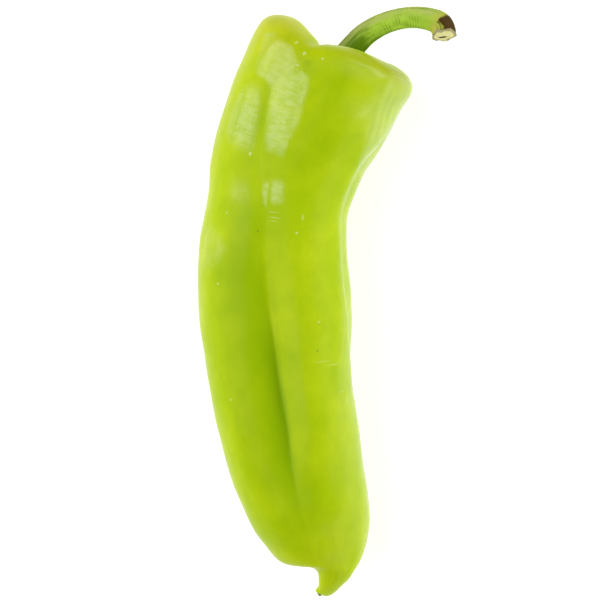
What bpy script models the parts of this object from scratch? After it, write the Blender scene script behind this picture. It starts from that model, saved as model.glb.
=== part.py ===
"""A cubanelle pepper lying on a table: the long three-lobed fruit, its calyx and its cut stem.

Metres and degrees. +Y runs from the blossom tip to the stem end, +X is across and +Z is up.
The origin is on the table, under the middle of the pepper's bounding box.

The fruit is drawn through ribs, which are oval sections across its bent middle line. Run is the
distance along the skin from the shoulder rib: positive down to the tip, negative over the shoulder
and into the basin that holds the calyx. Round a rib, angle 0 is to the right, 90 is up, 180 is to
the left and 270 is down, to the table.
"""

from collections import namedtuple

import bmesh
import bpy
import numpy as np

# Body ribs from the shoulder to the tip: centre x and y, lean about Z, half width, half depth, and
# the height of the rib's lowest point above the table, negative where the skin is pressed flat.
Rib = namedtuple("Rib", "x y lean half_width half_depth clearance")
BODY_RIBS = (
    Rib(-0.0019, 0.0620, 24.0, 0.0239, 0.0226, -0.0003),
    Rib(-0.0046, 0.0564, 21.0, 0.0239, 0.0222, -0.0004),
    Rib(-0.0072, 0.0504, 19.0, 0.0233, 0.0216, -0.0001),
    Rib(-0.0100, 0.0441, 17.0, 0.0224, 0.0209, 0.0005),
    Rib(-0.0122, 0.0367, 13.5, 0.0215, 0.0203, 0.0010),
    Rib(-0.0137, 0.0292, 10.0, 0.0207, 0.0199, 0.0013),
    Rib(-0.0150, 0.0204, 5.5, 0.0213, 0.0201, 0.0013),
    Rib(-0.0154, 0.0109, 2.0, 0.0219, 0.0204, 0.0011),
    Rib(-0.0149, 0.0014, -1.0, 0.0224, 0.0206, 0.0009),
    Rib(-0.0141, -0.0079, -4.0, 0.0223, 0.0205, 0.0008),
    Rib(-0.0136, -0.0171, -7.0, 0.0213, 0.0202, 0.0007),
    Rib(-0.0128, -0.0266, -10.0, 0.0207, 0.0198, 0.0005),
    Rib(-0.0111, -0.0358, -12.0, 0.0204, 0.0194, 0.0001),
    Rib(-0.0091, -0.0450, -13.0, 0.0196, 0.0187, -0.0004),
    Rib(-0.0067, -0.0543, -14.0, 0.0184, 0.0175, -0.0003),
    Rib(-0.0044, -0.0620, -14.0, 0.0173, 0.0159, 0.0008),
    Rib(-0.0023, -0.0683, -13.0, 0.0151, 0.0136, 0.0027),
    Rib(-0.0015, -0.0731, -8.0, 0.0127, 0.0112, 0.0054),
    Rib(-0.0007, -0.0756, -3.0, 0.0104, 0.0089, 0.0086),
    Rib(0.0010, -0.0767, 1.0, 0.0077, 0.0070, 0.0116),
    Rib(0.0020, -0.0772, 3.0, 0.0062, 0.0058, 0.0136),
    Rib(0.0024, -0.0782, 4.0, 0.0052, 0.0051, 0.0144),
    Rib(0.0019, -0.0805, 3.0, 0.0042, 0.0042, 0.0145),
    Rib(0.0010, -0.0825, 0.0, 0.0032, 0.0033, 0.0144),
    Rib(0.0004, -0.0841, -2.0, 0.0023, 0.0024, 0.0143),
    Rib(0.0001, -0.0850, -2.0, 0.0013, 0.0013, 0.0149),
)
TIP_LENGTH = 0.0004  # from the last rib to the tip

# Shoulder ribs from the first body rib inwards: height above it, share of its size, sideways shift.
Lift = namedtuple("Lift", "height share shift")
SHOULDER = (
    Lift(0.0042, 1.008, 0.0001),
    Lift(0.0082, 1.010, 0.0003),
    Lift(0.0117, 0.980, 0.0003),
    Lift(0.0141, 0.885, 0.0002),
    Lift(0.0153, 0.760, 0.0002),
    Lift(0.0156, 0.635, 0.0004),
    Lift(0.0143, 0.510, 0.0008),
    Lift(0.0113, 0.395, 0.0012),
    Lift(0.0087, 0.275, 0.0015),
    Lift(0.0073, 0.145, 0.0018),
)
BASIN_FLOOR = Lift(0.0068, 0.0, 0.0020)
CREST_RUN = -0.0195  # where the shoulder is highest
SECTION_POWER = 2.25  # 2 is an ellipse, more is squarer

# The furrows between the lobes as tables over the run: the angle of the line, its depth as a share
# of the radius, and how fast the flanks rise, in degrees, towards smaller and larger angles.
Furrow = namedtuple("Furrow", "angle depth below above")
FRONT_FURROW = Furrow(
    angle=((-0.039, 113), (-0.020, 110), (-0.010, 106.5), (-0.005, 109), (0.000, 113.5), (0.005, 118),
           (0.009, 120), (0.0145, 118), (0.0215, 115), (0.028, 110), (0.034, 103.5), (0.040, 98),
           (0.047, 94.5), (0.055, 92.5), (0.073, 91), (0.083, 89.5), (0.093, 88.5), (0.103, 90.5),
           (0.113, 94.5), (0.122, 97), (0.161, 98)),
    depth=((-0.039, 0), (-0.030, 0.04), (-0.020, 0.12), (-0.011, 0.08), (0.000, 0.055), (0.012, 0.055),
           (0.034, 0.060), (0.048, 0.095), (0.062, 0.16), (0.077, 0.22), (0.094, 0.245), (0.106, 0.19),
           (0.116, 0.11), (0.126, 0.04), (0.138, 0.0), (0.161, 0.0)),
    below=((-0.039, 10), (-0.012, 10), (0.000, 20), (0.024, 20), (0.045, 11), (0.060, 8), (0.161, 8)),
    above=((-0.039, 14), (-0.012, 14), (0.000, 8), (0.024, 8), (0.045, 13), (0.065, 22), (0.161, 22)),
)
RIGHT_FURROW = Furrow(
    angle=((-0.039, -10), (-0.020, -8), (-0.008, 0), (0.003, 8), (0.009, 14), (0.013, 18.5),
           (0.018, 20.5), (0.025, 20), (0.033, 17.5), (0.040, 16), (0.048, 16), (0.058, 15),
           (0.068, 13), (0.078, 9), (0.092, -4), (0.115, -13), (0.161, -20)),
    depth=((-0.039, 0), (-0.028, 0.01), (-0.018, 0.02), (-0.006, 0.012), (0.006, 0.02), (0.018, 0.06),
           (0.040, 0.085), (0.060, 0.08), (0.078, 0.055), (0.100, 0.05), (0.120, 0.025), (0.138, 0),
           (0.161, 0)),
    below=((-0.039, 9), (0.161, 9)),
    above=((-0.039, 5), (0.161, 5)),
)
BACK_FURROW = Furrow(
    angle=((-0.039, 258), (0.0, 260), (0.05, 263), (0.10, 262), (0.161, 260)),
    depth=((-0.039, 0), (-0.030, 0.03), (-0.019, 0.13), (-0.008, 0.11), (0.010, 0.10), (0.050, 0.11),
           (0.085, 0.12), (0.110, 0.08), (0.126, 0.03), (0.140, 0), (0.161, 0)),
    below=((-0.039, 11), (0.161, 11)),
    above=((-0.039, 11), (0.161, 11)),
)
FURROWS = (RIGHT_FURROW, FRONT_FURROW, BACK_FURROW)

# Low swellings of the lobes: (middle angle, reach in degrees, height as a share of the radius),
# fading in from one run to the next and out again.
Swelling = namedtuple("Swelling", "angle reach height start full fade end")
SWELLINGS = (
    Swelling(237, 20, 0.100, -0.016, 0.000, 0.110, 0.140),  # lobe that carries the left of the body
    Swelling(290, 18, 0.018, 0.015, 0.040, 0.110, 0.140),  # lobe that carries the right of it
    Swelling(137, 14, 0.020, -0.004, 0.010, 0.105, 0.130),  # left lobe beside the front furrow
    Swelling(72, 12, 0.022, -0.004, 0.010, 0.105, 0.125),  # right lobe beside it
    Swelling(1, 43, 0.052, -0.0229, -0.0197, -0.0134, -0.0032),  # corner of the right shoulder
)
# Slow unevenness of the skin: share of the radius, length along the run, waves round the rib, phase.
Wave = namedtuple("Wave", "height length turns phase")
WAVES = (
    Wave(0.0060, 0.043, 1, 0.4),
    Wave(0.0045, 0.029, 2, 2.1),
    Wave(0.0035, 0.071, 3, 4.0),
)

# Where the shoulder's crest is let down: middle angle, reach in degrees and depth.
Dip = namedtuple("Dip", "angle reach depth")
CREST_DIPS = (
    Dip(113, 21, 0.0034),  # the cleft between the left and right lobes
    Dip(113, 5, 0.0012),  # the pinch in the middle of that cleft
    Dip(47, 40, 0.0014),  # the right lobe
    Dip(258, 15, 0.0016),  # the back furrow
    Dip(270, 31, 0.0038),  # the underside
)

# The dry knob left by the flower's style, raised from the tip.
KNOB_CENTRE = (-0.0019, -0.0837, 0.0167)
KNOB_REACH = 0.0008
KNOB_HEIGHT = 0.0012

# Rings of the fruit's mesh: (first run, last run, rings), and sides on the right, left and back lobes.
RING_ZONES = (
    (-0.0390, -0.022, 7),
    (-0.022, 0.000, 11),
    (0.000, 0.130, 27),
    (0.130, 0.151, 8),
    (0.151, 0.161, 14),
)
LOBE_SIDES = (18, 30, 24)
SIDES_NEAR_FURROWS = 0.55  # how strongly the sides crowd towards the furrows, 0 to 1

# Calyx: a ribbed cap on the basin's floor, with short teeth.
PART_GAP = 0.00045
CALYX_RADIUS = 0.0078
CALYX_TEETH = 5
CALYX_TOOTH_LENGTH = 0.0018
CALYX_TOOTH_TURN = 40.0
CALYX_HUB_RADIUS = 0.0043
CALYX_HUB_HEIGHT = 0.0014
CALYX_THICKNESS = 0.0013
CALYX_EDGE_THICKNESS = 0.0006
CALYX_RIB_HEIGHT = 0.0005
CALYX_RINGS = 8
CALYX_SIDES = 60

# Stem: a ribbed stalk along points from the calyx to the cut, each with its radius.
STEM_GAP = 0.0003
STEM_POINTS = (
    (0.0053, 0.0717, 0.0221, 0.00355),
    (0.0078, 0.0744, 0.0228, 0.00350),
    (0.0101, 0.0768, 0.0236, 0.00340),
    (0.0140, 0.0795, 0.0247, 0.00318),
    (0.0183, 0.0813, 0.0257, 0.00302),
    (0.0226, 0.0822, 0.0264, 0.00298),
    (0.0264, 0.0823, 0.0271, 0.00305),
    (0.0301, 0.0816, 0.0279, 0.00322),
    (0.0328, 0.0802, 0.0290, 0.00338),
    (0.0339, 0.0778, 0.0304, 0.00345),
)
STEM_FOOT_RADIUS = 0.0037
STEM_RIBS = 5
STEM_RIB_HEIGHT = 0.055  # share of the radius
STEM_RINGS = 30
STEM_SIDES = 30
STEM_TWIST = 25.0
CUT_RIM_WIDTH = 0.0006
CUT_RECESS = 0.0004

FRUIT_GREEN = (0.40, 0.58, 0.015, 1.0)
CALYX_GREEN = (0.16, 0.32, 0.03, 1.0)
STEM_GREEN = (0.22, 0.38, 0.03, 1.0)


def spline(knots, values, at):
    """Natural cubic spline through the values at the knots, read at any runs."""
    knots = np.asarray(knots, float)
    values = np.asarray(values, float)
    step = np.diff(knots)
    slope = (np.diff(values, axis=0).T / step).T
    count = len(knots)
    system = np.eye(count)
    right = np.zeros_like(values)
    for i in range(1, count - 1):
        system[i, i - 1 : i + 2] = step[i - 1], 2 * (step[i - 1] + step[i]), step[i]
        right[i] = 6 * (slope[i] - slope[i - 1])
    bend = np.linalg.solve(system, right)
    at = np.clip(at, knots[0], knots[-1])
    i = np.clip(np.searchsorted(knots, at) - 1, 0, count - 2)
    span = step[i]
    far, near = (at - knots[i]) / span, (knots[i + 1] - at) / span
    if values.ndim > 1:
        span, far, near = span[..., None], far[..., None], near[..., None]
    curve = ((near**3 - near) * bend[i] + (far**3 - far) * bend[i + 1]) * span**2 / 6
    return near * values[i] + far * values[i + 1] + curve


def through(points, at):
    """Spline through (run, value) points."""
    run, value = zip(*points)
    return spline(run, value, at)


def straight_through(points, at):
    """Straight lines through (run, value) points."""
    run, value = zip(*points)
    return np.interp(at, run, value)


def smooth_step(low, high, at):
    """0 below low, 1 above high, and smooth between."""
    share = np.clip((at - low) / (high - low), 0, 1)
    return share * share * (3 - 2 * share)


def bell(turn, reach):
    """A smooth bump, 1 at no turn, for angles in degrees that wrap round."""
    turn = (turn + 180) % 360 - 180
    return np.exp(-0.5 * (turn / reach) ** 2)


def crease(turn, below, above):
    """A bump with a narrow foot and long flanks, steeper below or above the middle angle."""
    turn = (turn + 180) % 360 - 180
    reach = np.where(turn < 0, below, above)
    return np.exp(1 - np.sqrt(1 + (turn / reach) ** 2))


def radius_share(run, angle):
    """How far the skin stands from the rib's centre, as a share of the rib's own half size."""
    turn = np.radians(angle)
    across, up = np.abs(np.cos(turn)), np.abs(np.sin(turn))
    oval = (across**SECTION_POWER + up**SECTION_POWER) ** (-1 / SECTION_POWER)
    share = np.ones_like(angle)
    for furrow in FURROWS:
        angle_off = angle - through(furrow.angle, run)
        depth = np.maximum(through(furrow.depth, run), 0)
        below, above = straight_through(furrow.below, run), straight_through(furrow.above, run)
        share -= depth * crease(angle_off, below, above)
    for s in SWELLINGS:
        present = smooth_step(s.start, s.full, run) * (1 - smooth_step(s.fade, s.end, run))
        share += s.height * present * bell(angle - s.angle, s.reach)
    for wave in WAVES:
        share += wave.height * np.sin(2 * np.pi * run / wave.length + wave.turns * turn + wave.phase)
    return oval * share


def belly_share(run):
    """How far the rib reaches down, as a share of its half depth."""
    angle = np.linspace(180, 360, 181)
    return np.max(-np.sin(np.radians(angle)) * radius_share(np.full_like(angle, run), angle))


def rib_frames():
    """The runs of all ribs, basin to tip, and their x, y, z, lean, half width and half depth."""
    first = BODY_RIBS[0]
    lean = np.radians(first.lean)
    up, across = np.array([np.sin(lean), np.cos(lean)]), np.array([np.cos(lean), -np.sin(lean)])
    rows = []
    for lift in (BASIN_FLOOR, *reversed(SHOULDER)):
        x, y = np.array([first.x, first.y]) + lift.height * up + lift.shift * across
        rows.append([x, y, 0.0, first.lean, lift.share * first.half_width, lift.share * first.half_depth])
    rows += [[r.x, r.y, 0.0, r.lean, r.half_width, r.half_depth] for r in BODY_RIBS]
    last = rows[-1]
    rows.append([last[0], last[1] - TIP_LENGTH, 0.0, last[3], 0.0, 0.0])
    rows = np.array(rows)
    sideways = np.stack([np.cos(np.radians(rows[:, 3])), -np.sin(np.radians(rows[:, 3]))], axis=1)
    ends = [rows[:, :2] + side * sideways * rows[:, 4:5] for side in (-1, 1)]
    steps = np.mean([np.linalg.norm(np.diff(end, axis=0), axis=1) for end in ends], axis=0)
    run = np.concatenate([[0], np.cumsum(steps)])
    shoulder = len(SHOULDER) + 1
    run -= run[shoulder]
    for i, rib in enumerate(BODY_RIBS):
        rows[shoulder + i, 2] = rib.clearance + rib.half_depth * belly_share(run[shoulder + i])
    rows[:shoulder, 2] = rows[shoulder, 2]
    rows[-1, 2] = rows[-2, 2]
    return run, rows


RIB_RUNS, RIB_ROWS = rib_frames()


def crest_drop(run, angle):
    """How far the shoulder is let down, most at the crest and not at all at its foot or in the basin."""
    inside = smooth_step(RIB_RUNS[0], CREST_RUN, run) * (1 - smooth_step(CREST_RUN, 0.0, run))
    return inside * sum(dip.depth * bell(angle - dip.angle, dip.reach) for dip in CREST_DIPS)


def fruit_skin(run, angle):
    """Points of the fruit's skin, before it is pressed flat on the table."""
    run, angle = np.broadcast_arrays(np.asarray(run, float), np.asarray(angle, float))
    rib = spline(RIB_RUNS, RIB_ROWS, run.ravel()).reshape(*run.shape, 6)
    lean, turn = np.radians(rib[..., 3]), np.radians(angle)
    share = radius_share(run, angle)
    out = rib[..., 4] * share * np.cos(turn)
    drop = crest_drop(run, angle)
    x = rib[..., 0] + out * np.cos(lean) - drop * np.sin(lean)
    y = rib[..., 1] - out * np.sin(lean) - drop * np.cos(lean)
    z = rib[..., 2] + rib[..., 5] * share * np.sin(turn)
    skin = np.stack([x, y, z], axis=-1)
    from_axis = skin - rib[..., :3]
    length = np.maximum(np.linalg.norm(from_axis, axis=-1, keepdims=True), 1e-9)
    near_knob = np.exp(-0.5 * np.sum((skin - KNOB_CENTRE) ** 2, axis=-1) / KNOB_REACH**2)
    return skin + KNOB_HEIGHT * near_knob[..., None] * from_axis / length


def lobe_angles(run):
    """Angles round each ring, with a side along every furrow and the rest crowded towards them."""
    right, front, back = (through(furrow.angle, run)[:, None] for furrow in FURROWS)
    columns = []
    for start, end, sides in zip((right, front, back), (front, back, right + 360), LOBE_SIDES):
        share = np.arange(sides) / sides
        share = share - SIDES_NEAR_FURROWS * np.sin(2 * np.pi * share) / (2 * np.pi)
        columns.append(start + (end - start) * share)
    return np.concatenate(columns, axis=1)


def bridge(bm, lower, upper):
    """Faces between two rings of vertices."""
    for i in range(len(lower)):
        j = (i + 1) % len(lower)
        bm.faces.new((lower[i], lower[j], upper[j], upper[i]))


def cone(bm, tip, ring, outwards):
    """Triangles from a ring of vertices to one vertex."""
    for i in range(len(ring)):
        j = (i + 1) % len(ring)
        bm.faces.new((tip, ring[i], ring[j]) if outwards else (tip, ring[j], ring[i]))


def add_rings(bm, points):
    """One list of vertices for each row of points."""
    return [[bm.verts.new(p) for p in ring] for ring in points]


def finish(name, bm, material):
    """The named object of a closed mesh, shaded smooth."""
    bmesh.ops.recalc_face_normals(bm, faces=bm.faces)
    mesh = bpy.data.meshes.new(name)
    bm.to_mesh(mesh)
    bm.free()
    mesh.shade_smooth()
    mesh.materials.append(material)
    obj = bpy.data.objects.new(name, mesh)
    bpy.context.scene.collection.objects.link(obj)
    return obj


def principled(name, colour, roughness):
    """A plain plant-skin material."""
    material = bpy.data.materials.new(name)
    material.use_nodes = True
    shader = material.node_tree.nodes["Principled BSDF"]
    shader.inputs["Base Color"].default_value = colour
    shader.inputs["Roughness"].default_value = roughness
    shader.inputs["Metallic"].default_value = 0.0
    return material


def make_fruit():
    """The fruit as one closed solid, pressed flat where it rests on the table."""
    runs = np.concatenate([np.linspace(a, b, n, endpoint=False) for a, b, n in RING_ZONES])
    runs = runs[(runs > RIB_RUNS[0]) & (runs < RIB_RUNS[-1])]
    points = fruit_skin(runs[:, None], lobe_angles(runs))
    points[..., 2] = np.maximum(points[..., 2], 0)
    bm = bmesh.new()
    rings = add_rings(bm, points)
    for lower, upper in zip(rings, rings[1:]):
        bridge(bm, lower, upper)
    cone(bm, bm.verts.new(RIB_ROWS[0, :3]), rings[0], True)
    cone(bm, bm.verts.new(RIB_ROWS[-1, :3]), rings[-1], False)
    return finish("fruit", bm, principled("waxy_yellow_green_skin", FRUIT_GREEN, 0.28))


def shoulder_up():
    """The direction in which the stem end points."""
    lean = np.radians(BODY_RIBS[0].lean)
    return np.array([np.sin(lean), np.cos(lean), 0.0])


def make_calyx():
    """The calyx, which follows the basin just above the skin and carries a flat hub for the stem."""
    up = shoulder_up()
    angle = np.arange(CALYX_SIDES) * 360 / CALYX_SIDES
    teeth = (0.5 + 0.5 * np.cos(np.radians(CALYX_TEETH * (angle - CALYX_TOOTH_TURN)))) ** 2
    brim = CALYX_RADIUS - CALYX_HUB_RADIUS + CALYX_TOOTH_LENGTH * teeth
    share = np.linspace(0, 1, CALYX_RINGS)[:, None]
    inner_ring = np.full_like(angle, CALYX_HUB_RADIUS / 2)[None]
    from_centre = np.concatenate([inner_ring, CALYX_HUB_RADIUS + share * brim])
    floor = RIB_ROWS[0, :3] + PART_GAP * up
    underside = fruit_skin(RIB_RUNS[0] + from_centre, angle) + PART_GAP * up
    height = (underside - floor) @ up
    thickness = CALYX_THICKNESS + CALYX_RIB_HEIGHT * (teeth - 0.5)
    thickness = thickness + (CALYX_EDGE_THICKNESS - thickness) * share**3
    top = underside.copy()
    top[:2] += (CALYX_HUB_HEIGHT - height[:2])[..., None] * up
    top[2:] += thickness[1:, :, None] * up
    bm = bmesh.new()
    upper, lower = add_rings(bm, top), add_rings(bm, underside)
    for rings in (upper, lower):
        for inner, outer in zip(rings, rings[1:]):
            bridge(bm, inner, outer)
    bridge(bm, upper[-1], lower[-1])
    cone(bm, bm.verts.new(floor + CALYX_HUB_HEIGHT * up), upper[0], True)
    cone(bm, bm.verts.new(floor), lower[0], False)
    return finish("calyx", bm, principled("calyx_green", CALYX_GREEN, 0.45))


def stem_line(at):
    """Centre, direction and radius of the stem at shares 0 to 1 of its length."""
    up = shoulder_up()
    foot = RIB_ROWS[0, :3] + (PART_GAP + CALYX_HUB_HEIGHT + STEM_GAP) * up
    points = np.array([(*foot, STEM_FOOT_RADIUS), *STEM_POINTS])
    knots = np.concatenate([[0], np.cumsum(np.linalg.norm(np.diff(points[:, :3], axis=0), axis=1))])
    run = at * knots[-1]
    small = 1e-5
    line = spline(knots, points, run)
    ahead = spline(knots, points, np.minimum(run + small, knots[-1]))
    behind = spline(knots, points, np.maximum(run - small, 0))
    along = ahead[:, :3] - behind[:, :3]
    return line[:, :3], along / np.linalg.norm(along, axis=1, keepdims=True), line[:, 3]


def stem_rings(at, sides):
    """Rings of points round the stem, ribbed and slightly twisted, the first flat on the calyx."""
    centre, along, radius = stem_line(at)
    along[0] = shoulder_up()
    up = np.array([0.0, 0.0, 1.0])
    side = np.cross(along, up)
    side /= np.linalg.norm(side, axis=1, keepdims=True)
    front = np.cross(side, along)
    turn = np.arange(sides) * 2 * np.pi / sides
    ribs = 1 + STEM_RIB_HEIGHT * np.cos(STEM_RIBS * (turn + np.radians(STEM_TWIST) * at[:, None]))
    reach = radius[:, None] * ribs
    flat = np.cos(turn)[None, :, None] * side[:, None] + np.sin(turn)[None, :, None] * front[:, None]
    return centre[:, None] + reach[..., None] * flat, centre, along


def make_stem():
    """The stem from the calyx to its cut, whose face is sunk inside a thin rim."""
    rings, centre, along = stem_rings(np.linspace(0, 1, STEM_RINGS), STEM_SIDES)
    rim = centre[-1] + (rings[-1] - centre[-1]) * (1 - CUT_RIM_WIDTH / STEM_POINTS[-1][3])
    sunk = rim - CUT_RECESS * along[-1]
    bm = bmesh.new()
    loops = add_rings(bm, [*rings, rim, sunk])
    for lower, upper in zip(loops, loops[1:]):
        bridge(bm, lower, upper)
    cone(bm, bm.verts.new(centre[0]), loops[0], False)
    cone(bm, bm.verts.new(centre[-1] - CUT_RECESS * along[-1]), loops[-1], True)
    return finish("stem", bm, principled("stem_green", STEM_GREEN, 0.55))


for leftover in list(bpy.data.objects):
    bpy.data.objects.remove(leftover)
make_fruit()
make_calyx()
make_stem()
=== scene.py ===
"""The looks of a cubanelle pepper that lies on a white table, seen from straight above.

The fruit repeats the rule of the solid part, only finer: ribs across a bent middle line, with
furrows between three lobes. Run is the distance along the skin from the shoulder rib, positive
down to the tip and negative over the shoulder and into the basin. Round a rib, angle 0 is to the
right, 90 is up, 180 is to the left and 270 is down. Sizes are metres, angles are degrees.
"""

import logging
import math
from collections.abc import Sequence
from dataclasses import dataclass, field
from enum import Enum
from typing import NamedTuple, Union

import bmesh
import bpy
import numpy as np
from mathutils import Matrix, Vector


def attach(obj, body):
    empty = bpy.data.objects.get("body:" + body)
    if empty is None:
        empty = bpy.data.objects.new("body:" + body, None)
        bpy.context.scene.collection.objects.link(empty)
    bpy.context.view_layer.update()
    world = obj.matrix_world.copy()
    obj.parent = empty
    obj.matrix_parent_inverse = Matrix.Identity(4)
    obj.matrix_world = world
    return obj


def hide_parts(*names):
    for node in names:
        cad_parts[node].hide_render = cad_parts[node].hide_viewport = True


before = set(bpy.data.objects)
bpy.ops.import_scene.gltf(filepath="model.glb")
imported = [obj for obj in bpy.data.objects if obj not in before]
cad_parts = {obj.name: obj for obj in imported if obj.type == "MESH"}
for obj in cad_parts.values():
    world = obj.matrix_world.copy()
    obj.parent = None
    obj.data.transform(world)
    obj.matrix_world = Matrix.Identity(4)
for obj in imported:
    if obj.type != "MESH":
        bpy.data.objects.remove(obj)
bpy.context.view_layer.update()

LOG = logging.getLogger("pepper")

Colour = tuple[float, float, float, float]
Socket = bpy.types.NodeSocket
Feed = Union[Socket, float, int, bool, str, tuple, bpy.types.ID]
Table = tuple[tuple[float, float], ...]


class Slot(Enum):
    """Names of the material slots."""

    SKIN = "skin"
    CALYX = "calyx"
    STEM = "stem"


class Rib(NamedTuple):
    """An oval section: its centre, lean about Z, half sizes and height above the table."""

    x: float
    y: float
    lean: float
    half_width: float
    half_depth: float
    clearance: float


class Lift(NamedTuple):
    """A shoulder rib: its height above the first rib, share of its size and sideways shift."""

    height: float
    share: float
    shift: float


class Furrow(NamedTuple):
    """A furrow between two lobes, as tables over the run, with the reach of its two flanks."""

    angle: Table
    depth: Table
    below: Table
    above: Table


class Swelling(NamedTuple):
    """A long swelling of a lobe, as a share of the radius, between four runs."""

    angle: float
    reach: float
    height: float
    start: float
    full: float
    fade: float
    end: float


class Wave(NamedTuple):
    """A slow unevenness: share of the radius, length along the run, waves round the rib, phase."""

    height: float
    length: float
    turns: int
    phase: float


class Dip(NamedTuple):
    """Where the shoulder's crest is let down: middle angle, reach in degrees and depth."""

    angle: float
    reach: float
    depth: float


class Fold(NamedTuple):
    """A fine ridge along a line on the skin, or a groove where its height is negative."""

    angle: Table
    height: Table
    below: float
    above: float


class Ripple(NamedTuple):
    """Fine ridges along the fruit: ridges round it, drift along the run, phase and height."""

    ridges: float
    drift: float
    phase: float
    height: float


class Unevenness(NamedTuple):
    """Gentle bumps all over: their height and length, how many waves make them up, and the seed."""

    height: float
    length: float
    waves: int
    seed: int


class Patch(NamedTuple):
    """A soft patch on the skin: its place, its reach along the run and round, and its amount.

    The amount is a share for a tint and a height for a rise, negative for a dent.
    """

    run: float
    angle: float
    long: float
    wide: float
    amount: float


class Sheen(NamedTuple):
    """A glossy part of the wax: angles of its two sides over the run, ends, softness and strength."""

    low: Table
    high: Table
    start: float
    end: float
    soft: float
    fade: float
    amount: float


class Spot(NamedTuple):
    """A small mark in the skin: its place, its length, its width, and how much it shows."""

    run: float
    angle: float
    long: float
    wide: float
    amount: float


class Strip(NamedTuple):
    """A soft strip of tint along the stalk.

    It has its angle and reach round the stalk, and the shares of the length at which it starts, is
    full, fades and ends. Shares below 0 or above 1 leave that end of it open.
    """

    angle: float
    reach: float
    start: float
    full: float
    fade: float
    end: float


def spline(knots: Sequence[float], values: Sequence, at: np.ndarray) -> np.ndarray:
    """Natural cubic spline.

    Args:
        knots: Rising runs.
        values: A value, or a row of values, for each run.
        at: Runs to read.

    Returns:
        The values at those runs.
    """
    knots = np.asarray(knots, float)
    values = np.asarray(values, float)
    step = np.diff(knots)
    slope = (np.diff(values, axis=0).T / step).T
    count = len(knots)
    system = np.eye(count)
    right = np.zeros_like(values)
    for i in range(1, count - 1):
        system[i, i - 1 : i + 2] = step[i - 1], 2 * (step[i - 1] + step[i]), step[i]
        right[i] = 6 * (slope[i] - slope[i - 1])
    bend = np.linalg.solve(system, right)
    at = np.clip(at, knots[0], knots[-1])
    i = np.clip(np.searchsorted(knots, at) - 1, 0, count - 2)
    span = step[i]
    far, near = (at - knots[i]) / span, (knots[i + 1] - at) / span
    if values.ndim > 1:
        span, far, near = span[..., None], far[..., None], near[..., None]
    curve = ((near**3 - near) * bend[i] + (far**3 - far) * bend[i + 1]) * span**2 / 6
    return near * values[i] + far * values[i + 1] + curve


def through(points: Table, at: np.ndarray) -> np.ndarray:
    """Spline through (run, value) points."""
    run, value = zip(*points)
    return spline(run, value, at)


def straight_through(points: Table, at: np.ndarray) -> np.ndarray:
    """Straight lines through (run, value) points."""
    run, value = zip(*points)
    return np.interp(at, run, value)


def smooth_step(low: float, high: float, at: np.ndarray) -> np.ndarray:
    """0 below low, 1 above high, and smooth between."""
    share = np.clip((at - low) / (high - low), 0, 1)
    return share * share * (3 - 2 * share)


def wrapped(turn: np.ndarray) -> np.ndarray:
    """Angles in degrees brought between -180 and 180."""
    return (turn + 180) % 360 - 180


def bell(turn: np.ndarray, reach: float) -> np.ndarray:
    """A smooth bump over angles that wrap round, 1 at no turn."""
    return np.exp(-0.5 * (wrapped(turn) / reach) ** 2)


def crease(turn: np.ndarray, below: np.ndarray, above: np.ndarray) -> np.ndarray:
    """A bump with a narrow top and long flanks.

    Args:
        turn: Angles off the middle.
        below: Reach of the flank at lower angles.
        above: Reach of the flank at higher angles.

    Returns:
        The bump, 1 in the middle.
    """
    turn = wrapped(turn)
    reach = np.where(turn < 0, below, above)
    return np.exp(1 - np.sqrt(1 + (turn / reach) ** 2))


def shifted(line: Table, turn: float) -> Table:
    """The same line, moved round by an angle."""
    return tuple((run, angle + turn) for run, angle in line)


def soft_patches(patches: tuple[Patch, ...], run: np.ndarray, angle: np.ndarray) -> np.ndarray:
    """Adds soft patches up.

    Args:
        patches: The patches.
        run: The points' runs.
        angle: The points' angles.

    Returns:
        The sum of the patches' amounts at each point.
    """
    total = np.zeros_like(run)
    for patch in patches:
        along = np.exp(-0.5 * ((run - patch.run) / patch.long) ** 2)
        total += patch.amount * along * bell(angle - patch.angle, patch.wide)
    return total


def fold_lines(folds: tuple[Fold, ...], run: np.ndarray, angle: np.ndarray) -> np.ndarray:
    """Adds folds up.

    Args:
        folds: The folds.
        run: The points' runs.
        angle: The points' angles.

    Returns:
        The sum of the folds' heights at each point.
    """
    total = np.zeros_like(run)
    for fold in folds:
        off = angle - through(fold.angle, run)
        total += straight_through(fold.height, run) * crease(off, fold.below, fold.above)
    return total


def axes_across(direction: np.ndarray) -> tuple[np.ndarray, np.ndarray]:
    """Two directions square to one or more others.

    Args:
        direction: One direction, or rows of them, none straight up.

    Returns:
        The level one, to the right of it, and the one that points up.
    """
    side = np.cross(direction, [0.0, 0.0, 1.0])
    side /= np.linalg.norm(side, axis=-1, keepdims=True)
    return side, np.cross(side, direction)


WAVE_SPREAD = (0.7, 1.5)  # the shortest and longest waves of soft noise, as shares of their length
NOISE_HEIGHT = 0.7  # brings most of soft noise within its height


def soft_noise(points: np.ndarray, bumps: Unevenness) -> np.ndarray:
    """Smooth unevenness made of plane waves in fixed random directions.

    Args:
        points: Points in metres, in the last axis.
        bumps: The unevenness.

    Returns:
        Values round 0, mostly within its height.
    """
    rng = np.random.default_rng(bumps.seed)
    total = np.zeros(points.shape[:-1])
    for _ in range(bumps.waves):
        direction = rng.normal(size=3)
        direction /= np.linalg.norm(direction)
        pace = 2 * np.pi / (bumps.length * rng.uniform(*WAVE_SPREAD))
        total += np.cos(points @ direction * pace + rng.uniform(0, 2 * np.pi))
    return bumps.height * total / math.sqrt(bumps.waves / 2) * NOISE_HEIGHT


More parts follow.
